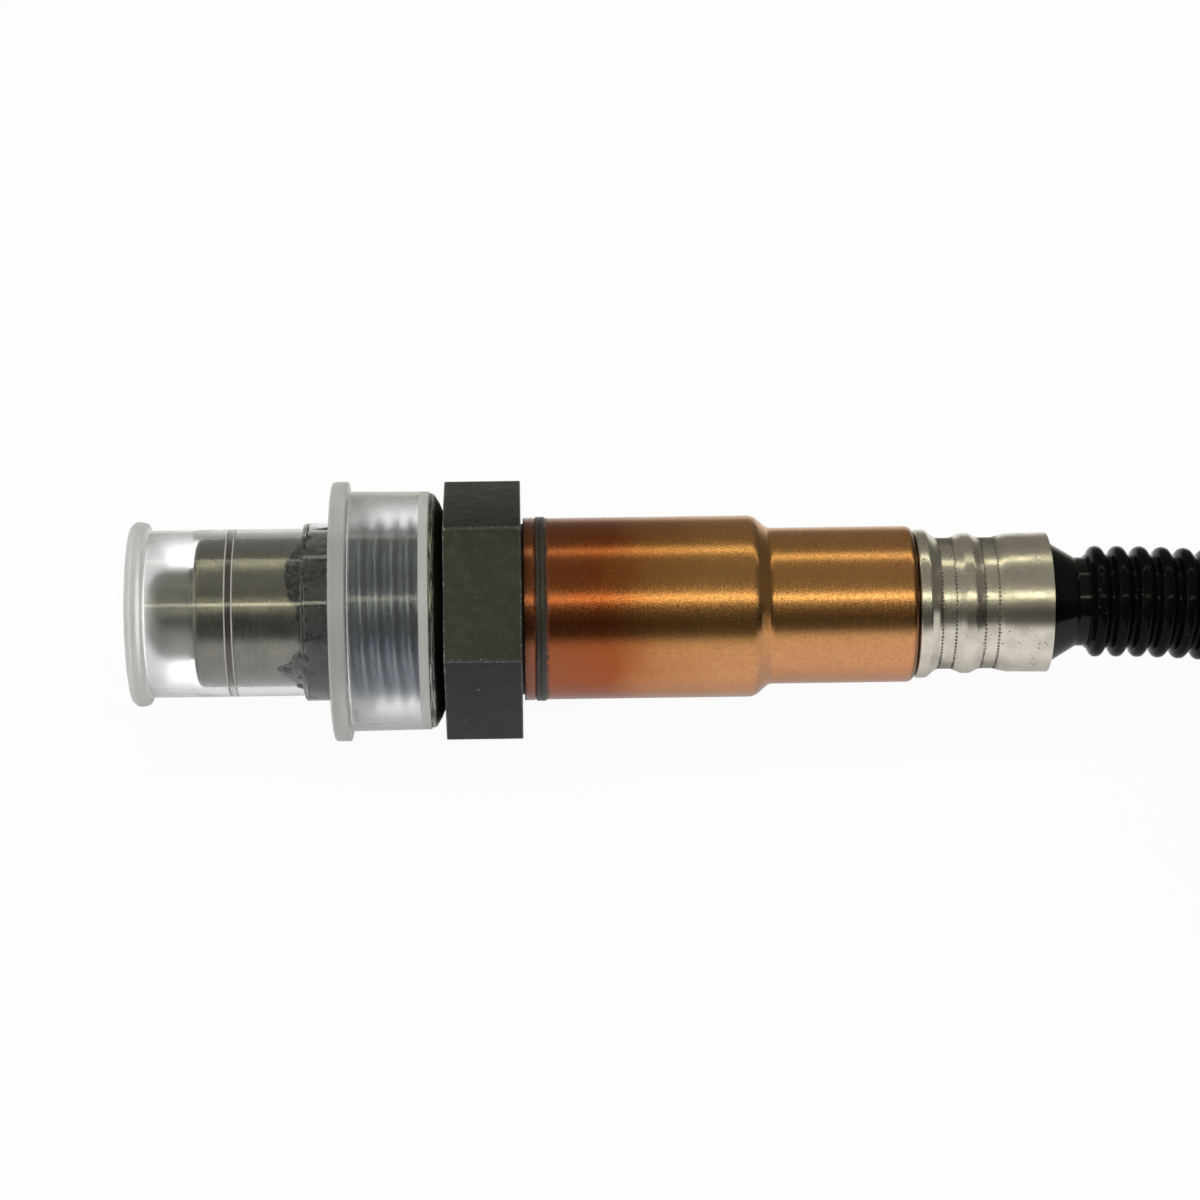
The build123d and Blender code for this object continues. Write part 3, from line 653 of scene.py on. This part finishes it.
def shell_bronze():
    """Drawn shell, heat tinted from copper red at the weld to gold."""
    finish = Finish("shell_bronze")
    x = finish.axis(0)
    wander = finish.noise((0.12, 0.12, 0.12), 3.0)
    heat = (x + (wander - 0.5) * 9.0) * (1 / 46.0)
    tint = finish.ramp(
        heat,
        [
            (0.15, (0.24, 0.09, 0.06)),
            (0.21, (0.31, 0.085, 0.035)),
            (0.34, (0.34, 0.08, 0.022)),
            (0.44, (0.5, 0.2, 0.075)),
            (0.56, (0.6, 0.28, 0.12)),
            (1.0, (0.65, 0.3, 0.14)),
        ],
    )
    # Painted light: the upper half is tinted golden, as the warm light from above tints it
    golden = finish.blend(1.0, tint, (1.0, 1.06, 0.7), "MULTIPLY")
    tint = finish.blend(finish.axis(2).rise(-2.5, 1.0) * 0.7, tint, golden)
    mottle = finish.noise((1.4, 1.4, 1.4), 5.0, 0.7)
    tint = finish.blend(mottle.rise(0.35, 0.75) * 0.2, tint, (0.3, 0.16, 0.1))
    flecks = finish.noise((3.4, 4.2, 4.2), 4.0, 0.8, (2.0, 0.0, 0.0))
    tint = finish.blend(flecks.rise(0.46, 0.66) * 0.3, tint, (0.24, 0.1, 0.05))
    lathe = finish.noise((6.0, 0.5, 0.5), 4.0, 0.7)
    scratch = finish.noise((1.2, 11.0, 11.0), 2.0, 0.6, (4.0, 0.0, 0.0))
    scratch = scratch.rise(0.72, 0.8)
    # The weld ring is burnt black, with a ragged fringe
    fringe = (finish.noise((1.6, 2.2, 2.2), 4.0, 0.7) - 0.5) * 0.9
    burnt = (x + fringe).band(WELD_START, WELD_END, 0.25)
    soot = finish.blend(mottle, (0.012, 0.014, 0.012), (0.045, 0.05, 0.045))
    tint = finish.blend(burnt * 0.96, tint, soot)
    shoulder = x.band(SHOULDER_START - 0.1, SHOULDER_START + 0.5, 0.3) * 0.25
    tint = finish.blend(shoulder, tint, (0.25, 0.17, 0.12))
    # Painted shade: darker over the rounded rear end, and next to the hexagon, where its
    # shadow falls
    ends = x.rise(SHELL_END - 0.75, SHELL_END - 0.15, 0.0, 0.75)
    ends = ends + x.rise(WELD_START, 8.0, 0.0, 0.3)
    tint = finish.blend(ends, tint, (0.06, 0.035, 0.02))
    grain = finish.noise((7.0, 4.0, 4.0), 3.0, 0.75)
    return finish.shown(
        finish.principled(
            Base_Color=tint,
            Metallic=1.0 - burnt * 0.7,
            Roughness=lathe.rise(0.2, 0.8, 0.17, 0.25)
            + flecks.rise(0.4, 0.7, 0.0, 0.08)
            + burnt * 0.2,
            Normal=finish.bump(lathe + grain + scratch * 0.5, 0.008),
        )
    )


def sleeve_nickel():
    """Satin nickel plate, pitted and dirty along the crimps."""
    finish = Finish("sleeve_nickel")
    x = finish.axis(0)
    cloud = finish.noise((0.5, 0.5, 0.5), 4.0)
    fine = finish.noise((9.0, 5.0, 5.0), 3.0, 0.7)
    dull = cloud.rise(0.35, 0.7)
    tint = finish.blend(dull, (0.68, 0.625, 0.53), (0.56, 0.522, 0.455))
    grime = finish.noise((5.0, 2.4, 2.4), 3.0, 0.7)
    lines = 0.0
    for station in CRIMP_LINES:
        lines = x.band(station - 0.1, station + 0.1, 0.05) + lines
    # One dot of dirt to each crimp tooth
    dots = (finish.turn() * (SLEEVE_STEPS / 2)).sine().rise(-0.2, 0.7, 0.25, 1.0)
    dirt = lines * grime.rise(0.34, 0.5) * dots
    pitted = finish.noise(grey(0.7), 2.0).rise(0.5, 0.62)
    pits = finish.specks(2.2, 0.2, (0.4, 0.0, 0.0)) * pitted
    tint = finish.blend((dirt + pits).at_most(0.95), tint, (0.03, 0.027, 0.02))
    return finish.shown(
        finish.principled(
            Base_Color=tint,
            Metallic=1.0,
            Roughness=cloud.rise(0.3, 0.7, 0.21, 0.29) + dirt * 0.2,
            Normal=finish.bump(fine + pits * -2.0, 0.005),
        )
    )


def conduit_black():
    """Glossy extruded plastic with a little dust."""
    finish = Finish("conduit_black")
    broad = finish.noise(grey(0.6), 3.0)
    fine = finish.noise(grey(6.0), 2.0)
    dust = finish.specks(1.6, 0.1) * broad.rise(0.45, 0.6)
    tint = finish.blend(broad, grey(0.002), (0.004, 0.004, 0.0045))
    tint = finish.blend(dust * 0.5, tint, grey(0.3))
    return finish.shown(
        finish.principled(
            Base_Color=tint,
            Roughness=broad.rise(0.3, 0.7, 0.08, 0.15),
            Specular_IOR_Level=0.055,
            Normal=finish.bump(fine, 0.002),
        )
    )


finishes = {
    "blackened_steel": blackened_steel(),
    "ring_black": ring_black(),
    "tip_steel": tip_steel(),
    "nose_steel": plain_metal("nose_steel", (0.34, 0.335, 0.315), 0.4),
    "clear_cap": cap_plastic(),
    "grease": paste(),
    "ceramic_white": moulded("ceramic_white", (0.72, 0.7, 0.64), 0.5),
    "talc": moulded("talc", (0.55, 0.55, 0.52), 0.8, 4.0),
    "bright_steel": plain_metal("bright_steel", (0.5, 0.49, 0.46), 0.3),
    "zirconia": moulded("zirconia", (0.6, 0.58, 0.5), 0.3),
    "shell_bronze": shell_bronze(),
    "rubber_black": moulded(
        "rubber_black", (0.002, 0.0023, 0.002), 0.1, gloss=0.17, relief=0.001
    ),
    "nickel_sleeve": sleeve_nickel(),
    "conduit_black": conduit_black(),
    "plug_black": moulded("plug_black", (0.014, 0.014, 0.015), 0.45, 1.6),
    "lock_grey": moulded("lock_grey", (0.2, 0.21, 0.22), 0.4),
    "tinned": plain_metal("tinned", (0.62, 0.62, 0.6), 0.25),
    "seal_red": moulded("seal_red", (0.42, 0.05, 0.03), 0.5),
    "wire_sheath": moulded("wire_sheath", (0.5, 0.5, 0.48), 0.45),
}
thread_finish = thread_steel()
worn_finish = worn_edge()

# Every CAD node gets its slot's finish. The pieces below then stand in for ten of them.
for entry in frame["record"]["subparts"]:
    shown = frame["nodes"][entry["node"]]
    shown.data.materials.clear()
    shown.data.materials.append(finishes[entry["material_slot"]])


def dress(piece, slot_name, *nodes):
    """Give a piece its slot's finish, in place of its CAD nodes."""
    piece.data.materials.append(finishes[slot_name])
    place(piece, slot_name, *nodes)


# ---------------------------------------------------------------- transit cap

cap = turned(
    "transit_cap",
    soften(
        [
            (-29.85, 0.0),
            (CAP_END, 7.3, 1.0),
            (CAP_END, 8.6, 0.35),
            (-29.75, 9.0, 0.5),
            (-28.75, 8.86, 0.5),
            (BEAD_BACK, CAP_RADIUS, 0.2),
            (COLLAR_START, CAP_RADIUS, 0.1),
            (COLLAR_START, COLLAR_RADIUS, 0.35),
            (FLANGE_START, COLLAR_RADIUS, 0.2),
            (FLANGE_START, FLANGE_RADIUS, 0.35),
            (FLANGE_END, FLANGE_RADIUS, 0.18),
            (FLANGE_END, SKIRT_RADIUS, 0.15),
            (GASKET_START, SKIRT_RADIUS - 0.1, 0.12),
            (GASKET_START, 11.05, 0.06),
            (LIP_START, 11.05, 0.08),
            (LIP_START, SKIRT_BORE, 0.08),
            (FLANGE_END, SKIRT_BORE, 0.4),
            (FLANGE_END, 9.1, 0.1),
            (COLLAR_BORE_END, 9.1, 0.1),
            (COLLAR_BORE_END, COLLAR_BORE, 0.2),
            (COLLAR_BORE_START, COLLAR_BORE, 0.2),
            (COLLAR_BORE_START, CAP_BORE, 0.1),
            (RIDGE_END, CAP_BORE),
            (RIDGE_END - 0.05, CAP_BORE - 0.05),
            (RIDGE_START + 0.05, CAP_BORE - 0.05),
            (RIDGE_START, CAP_BORE),
            (-29.5, CAP_BORE, 0.8),
            (-29.5, 0.0),
        ],
        4,
    ),
    closed=False,
)
dress(cap, "clear_cap", "protective_cap")

# ---------------------------------------------------------------- tip behind the cap

tube = turned(
    "outer_tube",
    soften(
        [
            (TUBE_END, NOSE_RADIUS + 0.05, 0.1),
            (TUBE_END, TUBE_RADIUS, 0.75),
            (THREAD_START, TUBE_RADIUS),
            (THREAD_START, TUBE_RADIUS - TUBE_WALL),
            (TUBE_END + TUBE_WALL, TUBE_RADIUS - TUBE_WALL, 0.4),
            (TUBE_END + TUBE_WALL, NOSE_RADIUS + 0.05),
        ]
    ),
)
dress(tube, "tip_steel", "outer_protection_tube")

nose = turned(
    "nose",
    soften(
        [
            (NOSE_END, 0.0),
            (NOSE_END, NOSE_RADIUS, 4.1),
            (SPIGOT_START - NOSE_WALL, NOSE_RADIUS),
            (SPIGOT_START - NOSE_WALL, SPIGOT_RADIUS),
            (SPIGOT_START, SPIGOT_RADIUS),
            (SPIGOT_START, NOSE_RADIUS - NOSE_WALL),
            (NOSE_END + NOSE_WALL, NOSE_RADIUS - NOSE_WALL, 3.7),
            (NOSE_END + NOSE_WALL, 0.0),
        ],
        10,
    ),
    closed=False,
)
dress(nose, "nose_steel", "inner_protection_tube")

# ---------------------------------------------------------------- compound under the cap

grease = turned(
    "thread_compound",
    soften(
        [
            (-14.2, 7.225),
            (-10.15, 7.225),
            (-10.15, 7.77, 0.1),
            (-13.05, 7.77, 0.1),
            (-13.2, 7.28),
            (-13.5, 7.275),
            (-13.8, 7.275),
            (-14.2, 7.27),
        ],
        2,
    ),
    steps=240,
)
MOUTH = -13.15  # the compound is squeezed out beyond this station
# Tongues of it: angle from the front in degrees, reach in millimetres, spread in degrees
TONGUES = [
    (58, 1.1, 9),
    (43, 1.3, 10),
    (30, 0.5, 8),
    (72, 0.5, 8),
    (-23, 1.7, 5),
    (-30, 1.2, 7),
    (-14, 0.8, 7),
    (-40, 0.5, 6),
    (150, 1.2, 9),
    (-120, 0.9, 12),
]


def squeezed(angle):
    """How far the compound reaches past the collar at an angle, in millimetres."""
    reach = 0.12 * math.sin(7 * angle) + 0.08 * math.sin(23 * angle + 1)
    for middle, length, spread in TONGUES:
        off = (math.degrees(angle) - middle + 180) % 360 - 180
        reach += length * math.exp(-((off / spread) ** 2))
    return reach + random.uniform(-0.14, 0.14)


for vertex in grease.data.vertices:
    past = MOUTH - vertex.co.x / MM
    if past > 0:
        # The front is at -Y
        reach = squeezed(math.atan2(vertex.co.z, -vertex.co.y))
        vertex.co.x -= past * (reach - 0.5) * MM
dent(grease, 0.16, 0.9)
dress(grease, "grease", "thread_compound")

# ---------------------------------------------------------------- thread and hexagon


def thread():
    """A ridge of one pitch, screwed along the axis and cut square at both ends."""
    root = THREAD_RADIUS - THREAD_DEPTH
    end = GASKET_START - 0.1
    lead_in = THREAD_START - 1.4 * THREAD_PITCH
    ridge = [
        (lead_in, root),
        (lead_in + 0.19, root),
        (lead_in + 0.66, THREAD_RADIUS),
        (lead_in + 0.84, THREAD_RADIUS),
        (lead_in + 1.31, root),
        (lead_in + THREAD_PITCH, root),
    ]
    draw("hexagon", ridge, closed=False)
    piece = leave_edit()
    modify(
        piece,
        "SCREW",
        axis="X",
        angle=FULL_TURN,
        screw_offset=THREAD_PITCH * MM,
        iterations=9,
        steps=96,
        render_steps=96,
        use_merge_vertices=False,
    )
    edit_all()
    bpy.ops.mesh.remove_doubles(threshold=2e-6)
    for station, outside in ((THREAD_START, True), (end, False)):
        bpy.ops.mesh.select_all(action="SELECT")
        bpy.ops.mesh.bisect(
            plane_co=(station * MM, 0, 0),
            plane_no=(1, 0, 0),
            use_fill=True,
            clear_inner=outside,
            clear_outer=not outside,
            threshold=1e-7,
        )
    bpy.ops.mesh.select_all(action="SELECT")
    bpy.ops.mesh.normals_make_consistent(inside=False)
    leave_edit()
    # The first turns are chamfered down to the root
    for vertex in piece.data.vertices:
        x, y, z = vertex.co / MM
        radius = math.hypot(y, z)
        limit = THREAD_RADIUS - 0.9 + (x - THREAD_START)
        if radius > limit:
            vertex.co.y *= limit / radius
            vertex.co.z *= limit / radius
    bpy.ops.object.shade_smooth_by_angle(angle=math.radians(25))
    return piece


def hexagon_nut():
    """The wrench faces, with worn edges and corners."""
    deselect()
    bpy.ops.mesh.primitive_cylinder_add(
        vertices=6,
        radius=HEX_FLATS / math.sqrt(3) * MM,
        depth=HEX_LENGTH * MM,
        location=(HEX_LENGTH / 2 * MM, 0, 0),
        rotation=(math.pi / 2, 0, math.pi / 2),
    )
    piece = bpy.context.object
    bpy.ops.object.transform_apply(location=True, rotation=True, scale=True)
    piece.data.materials.append(finishes["blackened_steel"])
    piece.data.materials.append(worn_finish)
    # A twelfth of a turn, so that two flats face up and down
    edit_all()
    bpy.ops.transform.rotate(
        value=FULL_TURN / 12, orient_axis="X", center_override=(0, 0, 0)
    )
    leave_edit()

    def lengthwise(edge):
        first, last = (piece.data.vertices[index].co for index in edge.vertices)
        return abs(first.x - last.x) > 1e-6

    pick(piece, lengthwise, "EDGE")
    bpy.ops.mesh.bevel(offset=0.22 * MM, segments=4, material=1)
    pick(piece, lambda face: abs(face.normal.x) > 0.9, "FACE")
    bpy.ops.mesh.region_to_loop()
    bpy.ops.mesh.bevel(offset=0.12 * MM, segments=3, material=1)
    leave_edit()
    bpy.ops.object.shade_smooth_by_angle(angle=math.radians(25))
    return piece


def collar():
    """Rear collar with its crimped lip, and the relief that carries the sealing ring."""
    return turned(
        "collar",
        soften(
            [
                (-1.6, 0.0),
                (-1.6, 7.95),
                (3.0, 7.95),
                (3.0, 8.3),
                (13.0, 8.3, 0.3),
                (13.0, 5.9, 0.15),
                (12.5, 5.9, 0.1),
                (12.5, 0.0),
            ]
        ),
        closed=False,
    )


def spigot():
    """Front end of the body, which carries the two tubes."""
    return turned(
        "spigot",
        soften(
            [
                (SPIGOT_START, 4.2),
                (SPIGOT_START, SPIGOT_RADIUS, 0.2),
                (-9.9, SPIGOT_RADIUS),
                (-9.9, 4.2),
            ]
        ),
        steps=96,
    )


threaded = thread()
threaded.data.materials.append(thread_finish)
nut, rear, front = hexagon_nut(), collar(), spigot()
for part in (rear, front):
    part.data.materials.append(finishes["blackened_steel"])
choose(nut, rear, front, threaded)
bpy.ops.object.join()
place(threaded, "blackened_steel", "hex_body")

gasket = turned(
    "sealing_ring",
    soften(
        [
            (GASKET_START, GASKET_BORE, 0.1),
            (GASKET_START, 11.45, 0.15),
            (-0.95, 11.28, 0.3),
            (-0.4, 10.35, 0.4),
            (0.0, 9.3, 0.1),
            (0.0, GASKET_BORE, 0.1),
            (-0.55, GASKET_BORE, 0.05),
            (-0.6, 9.1, 0.1),
            (-0.8, 9.1, 0.1),
            (-0.85, GASKET_BORE, 0.05),
        ]
    ),
)
dress(gasket, "ring_black", "sealing_ring")

# ---------------------------------------------------------------- shell

shell = turned(
    "shell",
    soften(
        [
            (SHELL_START, SHELL_RADIUS - SHELL_WALL),
            (SHELL_START, 8.86, 0.08),
            (8.55, 8.86, 0.12),
            (8.68, 8.74, 0.08),
            (8.8, 8.92, 0.05),
            (9.1, 8.94, 0.04),
            (9.16, 8.88, 0.03),
            (9.24, 8.94, 0.04),
            (9.6, 8.93, 0.06),
            (9.78, 8.8, 0.1),
            (SHOULDER_START, SHELL_RADIUS, 1.5),
            (SHOULDER_END, SHELL_SMALL_RADIUS, 0.9),
            (SHELL_END, SHELL_SMALL_RADIUS, 1.6),
            (SHELL_END, 6.0),
            (SHELL_END - SHELL_WALL, 6.0),
            (SHELL_END - SHELL_WALL, SHELL_SMALL_RADIUS - SHELL_WALL, 1.15),
            (SHOULDER_END, SHELL_SMALL_RADIUS - SHELL_WALL, 1.3),
            (SHOULDER_START, SHELL_RADIUS - SHELL_WALL, 1.0),
        ],
        8,
    ),
)
dress(shell, "shell_bronze", "shell_sleeve")

# ---------------------------------------------------------------- crimp sleeve

first, second, third, fourth = CRIMP_LINES
groove_inside = GROOVE_RADIUS - SLEEVE_WALL
sleeve_line = [
    (SHELL_END, GROOVE_RADIUS),
    (SHELL_END, 7.2, 0.62),
    (46.45, 7.2, 0.5),
    (47.3, 6.5, 0.3),
    (first, GROOVE_RADIUS, 0.1),
    (second, GROOVE_RADIUS, 0.1),
    (49.3, 6.5, 0.4),
    (49.9, 6.8, 0.8),
    (50.7, 6.8, 0.8),
    (51.3, 6.5, 0.4),
    (third, GROOVE_RADIUS, 0.1),
    (fourth, GROOVE_RADIUS, 0.1),
    (53.5, 6.52, 0.5),
    (54.3, 6.7, 0.9),
    (57.6, 6.76, 0.3),
    (SLEEVE_END, 6.78),
    (SLEEVE_END, 6.45),
    (54.3, 6.3, 0.9),
    (fourth, groove_inside, 0.3),
    (third, groove_inside, 0.3),
    (50.7, 6.8 - SLEEVE_WALL, 0.8),
    (49.9, 6.8 - SLEEVE_WALL, 0.8),
    (second, groove_inside, 0.3),
    (first, groove_inside, 0.3),
    (46.45, 7.2 - SLEEVE_WALL, 0.5),
]
sleeve = turned("crimp_ring", soften(sleeve_line, 6), steps=SLEEVE_STEPS)


def crimp_tooth(vertex):
    """Every other outer vertex on the four pressed lines."""
    x, y, z = vertex.co / MM
    if math.hypot(y, z) < 6.15 or min(abs(x - line) for line in CRIMP_LINES) > 0.07:
        return False
    return round(math.atan2(z, y) / FULL_TURN * SLEEVE_STEPS) % 2 == 0


pick(sleeve, crimp_tooth)
bpy.ops.transform.resize(value=(1.0, 0.987, 0.987), center_override=(0, 0, 0))
leave_edit()
dent(sleeve, 0.02, 4.5)
dress(sleeve, "nickel_sleeve", "crimp_sleeve")

# ---------------------------------------------------------------- grommet

rubber = turned(
    "grommet",
    soften(
        [
            (38.0, 0.0),
            (38.0, 7.0, 0.4),
            (44.6, 7.0, 1.0),
            (44.8, 5.85),
            (58.45, 5.85, 0.25),
            (61.0, NECK_RADIUS, 0.5),
            (NECK_END + 0.35, NECK_RADIUS, 0.1),
            (NECK_END + 0.35, 0.0),
        ]
    ),
    closed=False,
)
dress(rubber, "rubber_black", "grommet")

# ---------------------------------------------------------------- lead

# Free points of the lead, from the neck to the plug, in metres
ROUTE = [
    (0.06205, 0.0, 0.0),
    (0.07005, 0.0, 0.0),
    (0.08505, 0.0003, -0.00195),
    (0.103, 0.0019, -0.0053),
    (0.12235, 0.0047, -0.00718),
    (0.15485, 0.0074, -0.00718),
    (0.18205, -0.00525, -0.00718),
    (0.1992, -0.0268, -0.00718),
    (0.20615, -0.0511, -0.00718),
    (0.20445, -0.07215, -0.00718),
    (0.19905, -0.08705, -0.00718),
    (0.1879, -0.10275, -0.00718),
    (0.16625, -0.1182, -0.00718),
    (0.1404, -0.1226, -0.00718),
    (0.1183, -0.1173, -0.00718),
    (0.102, -0.10605, -0.00698),
    (0.0908, -0.0899, -0.00498),
    (0.086, -0.0725, -0.00408),
    (0.086, -0.058, -0.00408),
]
RING_PITCH = 2.09 * MM
# One corrugation: share of the pitch, and radius in millimetres
RING = [
    (0.0, 4.52),
    (0.07, 4.56),
    (0.13, 4.78),
    (0.2, 5.08),
    (0.3, 5.3),
    (0.42, 5.385),
    (0.54, 5.385),
    (0.66, 5.3),
    (0.76, 5.08),
    (0.83, 4.78),
    (0.9, 4.56),
]
AROUND = 36  # vertices round the lead


def centreline():
    """The lead's line, read from a smooth curve through its route."""
    curve = bpy.data.curves.new("lead_route", "CURVE")
    curve.dimensions = "3D"
    curve.resolution_u = 48
    spline = curve.splines.new("NURBS")
    spline.points.add(len(ROUTE) - 1)
    for point, spot in zip(spline.points, ROUTE):
        point.co = (*spot, 1.0)
    spline.order_u = 3
    spline.use_endpoint_u = True
    holder = bpy.data.objects.new("lead_route", curve)
    bpy.context.scene.collection.objects.link(holder)
    bpy.context.view_layer.update()
    mesh = bpy.data.meshes.new_from_object(holder)
    points = [vertex.co.copy() for vertex in mesh.vertices]
    bpy.data.objects.remove(holder)
    bpy.data.meshes.remove(mesh)
    bpy.data.curves.remove(curve)
    return points


def along(points):
    """Length of a line of points, and a function from a distance to the place there."""
    marks = [0.0]
    for here, ahead in zip(points, points[1:]):
        marks.append(marks[-1] + (ahead - here).length)

    def spot(distance):
        distance = min(max(distance, 0.0), marks[-1])
        low, high = 0, len(marks) - 1
        while high - low > 1:
            middle = (low + high) // 2
            if marks[middle] <= distance:
                low = middle
            else:
                high = middle
        share = (distance - marks[low]) / (marks[high] - marks[low])
        return points[low].lerp(points[high], share)

    return marks[-1], spot


def corrugated(name, points):
    """A ringed hose round a line of points."""
    length, spot = along(points)
    count = int(length / RING_PITCH)
    pitch = length / count
    rings = [
        ((ring + share) * pitch, radius * MM)
        for ring in range(count)
        for share, radius in RING
    ]
    rings.append((length, RING[0][1] * MM))
    vertices, faces = [], []
    side = Vector((0.0, 0.0, 1.0))
    near = 0.4 * MM
    for distance, radius in rings:
        heading = (spot(distance + near) - spot(distance - near)).normalized()
        up = (side - heading * side.dot(heading)).normalized()
        across = heading.cross(up)
        centre = spot(distance)
        for step in range(AROUND):
            angle = FULL_TURN * step / AROUND
            spoke = up * math.cos(angle) + across * math.sin(angle)
            vertices.append(tuple(centre + spoke * radius))
    last = (len(rings) - 1) * AROUND
    for row in range(0, last, AROUND):
        ahead = row + AROUND
        for step in range(AROUND):
            beside = (step + 1) % AROUND
            faces.append((row + step, row + beside, ahead + beside, ahead + step))
    faces.append(tuple(range(AROUND)))
    faces.append(tuple(range(last, last + AROUND)))
    mesh = bpy.data.meshes.new(name)
    mesh.from_pydata(vertices, [], faces)
    piece = bpy.data.objects.new(name, mesh)
    bpy.context.scene.collection.objects.link(piece)
    choose(piece)
    edit_all()
    bpy.ops.mesh.normals_make_consistent(inside=False)
    leave_edit()
    bpy.ops.object.shade_smooth_by_angle(angle=math.radians(50))
    return piece


line = centreline()
lead = corrugated("lead", line)
dress(lead, "conduit_black", "conduit")

# ---------------------------------------------------------------- studio


def floor_paper():
    """White paper that keeps a trace of shadow. Metal mirrors it white near the object, with
    a painted shadow on the strip under it.
    """
    sheet = Finish("floor_paper")
    near = sheet.axis(1).rise(-64.0, -26.0, 0.1, 1.0)
    # Painted shadow: what metal mirrors is darker on this strip under the object
    under = sheet.axis(1).band(-5.0, 12.0, 6.0)
    seen, mirrored = sheet.background_rays()
    strength = seen + mirrored * (near * (1.0 - under * 0.4))
    glow = {"Color": grey(1.0), "Strength": strength}
    glow = sheet.node("ShaderNodeEmission", None, glow)
    paper = sheet.node("ShaderNodeBsdfDiffuse", None, {"Color": grey(0.92)})
    share = (seen * 0.95 + mirrored).at_most(1.0)
    return sheet.shown(sheet.mixed(share, paper, glow))


deselect()
bpy.ops.mesh.primitive_plane_add(size=8.0, location=(0, 0, FLOOR * MM))
ground = bpy.context.object
ground.name = "floor"
bpy.ops.object.transform_apply(location=True, rotation=True, scale=True)
ground.data.materials.append(floor_paper())


def studio_world():
    """Soft tent light, with one strip lamp over the object and one in front of it."""
    world = bpy.data.worlds.new("studio")
    bpy.context.scene.world = world
    sky = Finish("studio", world)
    heading = sky.node("ShaderNodeTexCoord", output="Generated")
    x, y, z = (
        sky.node("ShaderNodeSeparateXYZ", None, {0: heading}, index) for index in range(3)
    )
    # Angle in degrees round X: 0 is level towards the camera's side, 90 is overhead
    angle = z.angle_to(y * -1.0) * math.degrees(1)
    tent = angle.rise(-2.0, 45.0, 0.06, 0.3) - angle.rise(80.0, 115.0) * 0.05
    # Brighter low behind the object, and dimmer past the lead
    tent = tent + angle.rise(162.0, 178.0) * 0.7
    tent = tent * x.rise(0.3, 0.7, 1.0, 0.6)
    front = angle.band(32.0, 36.0, 1.0) * 6.0
    top = angle.band(96.5, 101.5, 1.2) * 3.1
    strips = (front + top) * abs(x).rise(0.8, 0.6)
    beyond_tip = x.rise(-0.84, -0.92) * 1.6
    level = tent + strips + beyond_tip
    tint = sky.blend(angle.rise(-10.0, 20.0), grey(1.0), (1.0, 0.985, 0.88))
    tint = sky.blend(strips.at_most(1.0), tint, (1.0, 0.97, 0.72))
    light = sky.blend(1.0, tint, sky.colour(level, level, level), "MULTIPLY")
    seen, _ = sky.background_rays()
    shade = sky.blend(seen, light, grey(1.0))
    back = sky.node("ShaderNodeBackground", None, {"Color": shade, "Strength": 1.0})
    sky.shown(back, "ShaderNodeOutputWorld")


studio_world()
# Even light on plastic and rubber; what metal mirrors is the tent alone
bpy.ops.object.light_add(type="SUN", rotation=tuple(map(math.radians, (48, 0, -18))))
fill = bpy.context.object
fill.name = "fill"
fill.data.energy = 1.1
fill.data.angle = math.radians(80)
fill.visible_glossy = False
fill.visible_transmission = False

# ---------------------------------------------------------------- camera

ELEVATION = math.radians(22.2)
AIM_X = 7.73
AIM_ABOVE_AXIS = 0.88
DISTANCE = 329.0
ROLL = math.radians(-0.79)
up = Vector((0.0, math.sin(ELEVATION), math.cos(ELEVATION)))
towards = Vector((0.0, math.cos(ELEVATION), -math.sin(ELEVATION)))
aim = Vector((AIM_X, 0.0, 0.0)) + up * AIM_ABOVE_AXIS
lens = bpy.data.cameras.new("camera")
lens.sensor_width = 36.0
lens.lens = 101.6
lens.shift_x = 0.0625
lens.clip_start = 0.01
lens.clip_end = 20.0
camera = bpy.data.objects.new("camera", lens)
bpy.context.scene.collection.objects.link(camera)
camera.location = (aim - towards * DISTANCE) * MM
level_view = towards.to_track_quat("-Z", "Y").to_matrix()
camera.rotation_euler = (level_view @ Matrix.Rotation(ROLL, 3, "Z")).to_euler()
bpy.context.scene.camera = camera
bpy.context.scene.view_settings.view_transform = "Standard"
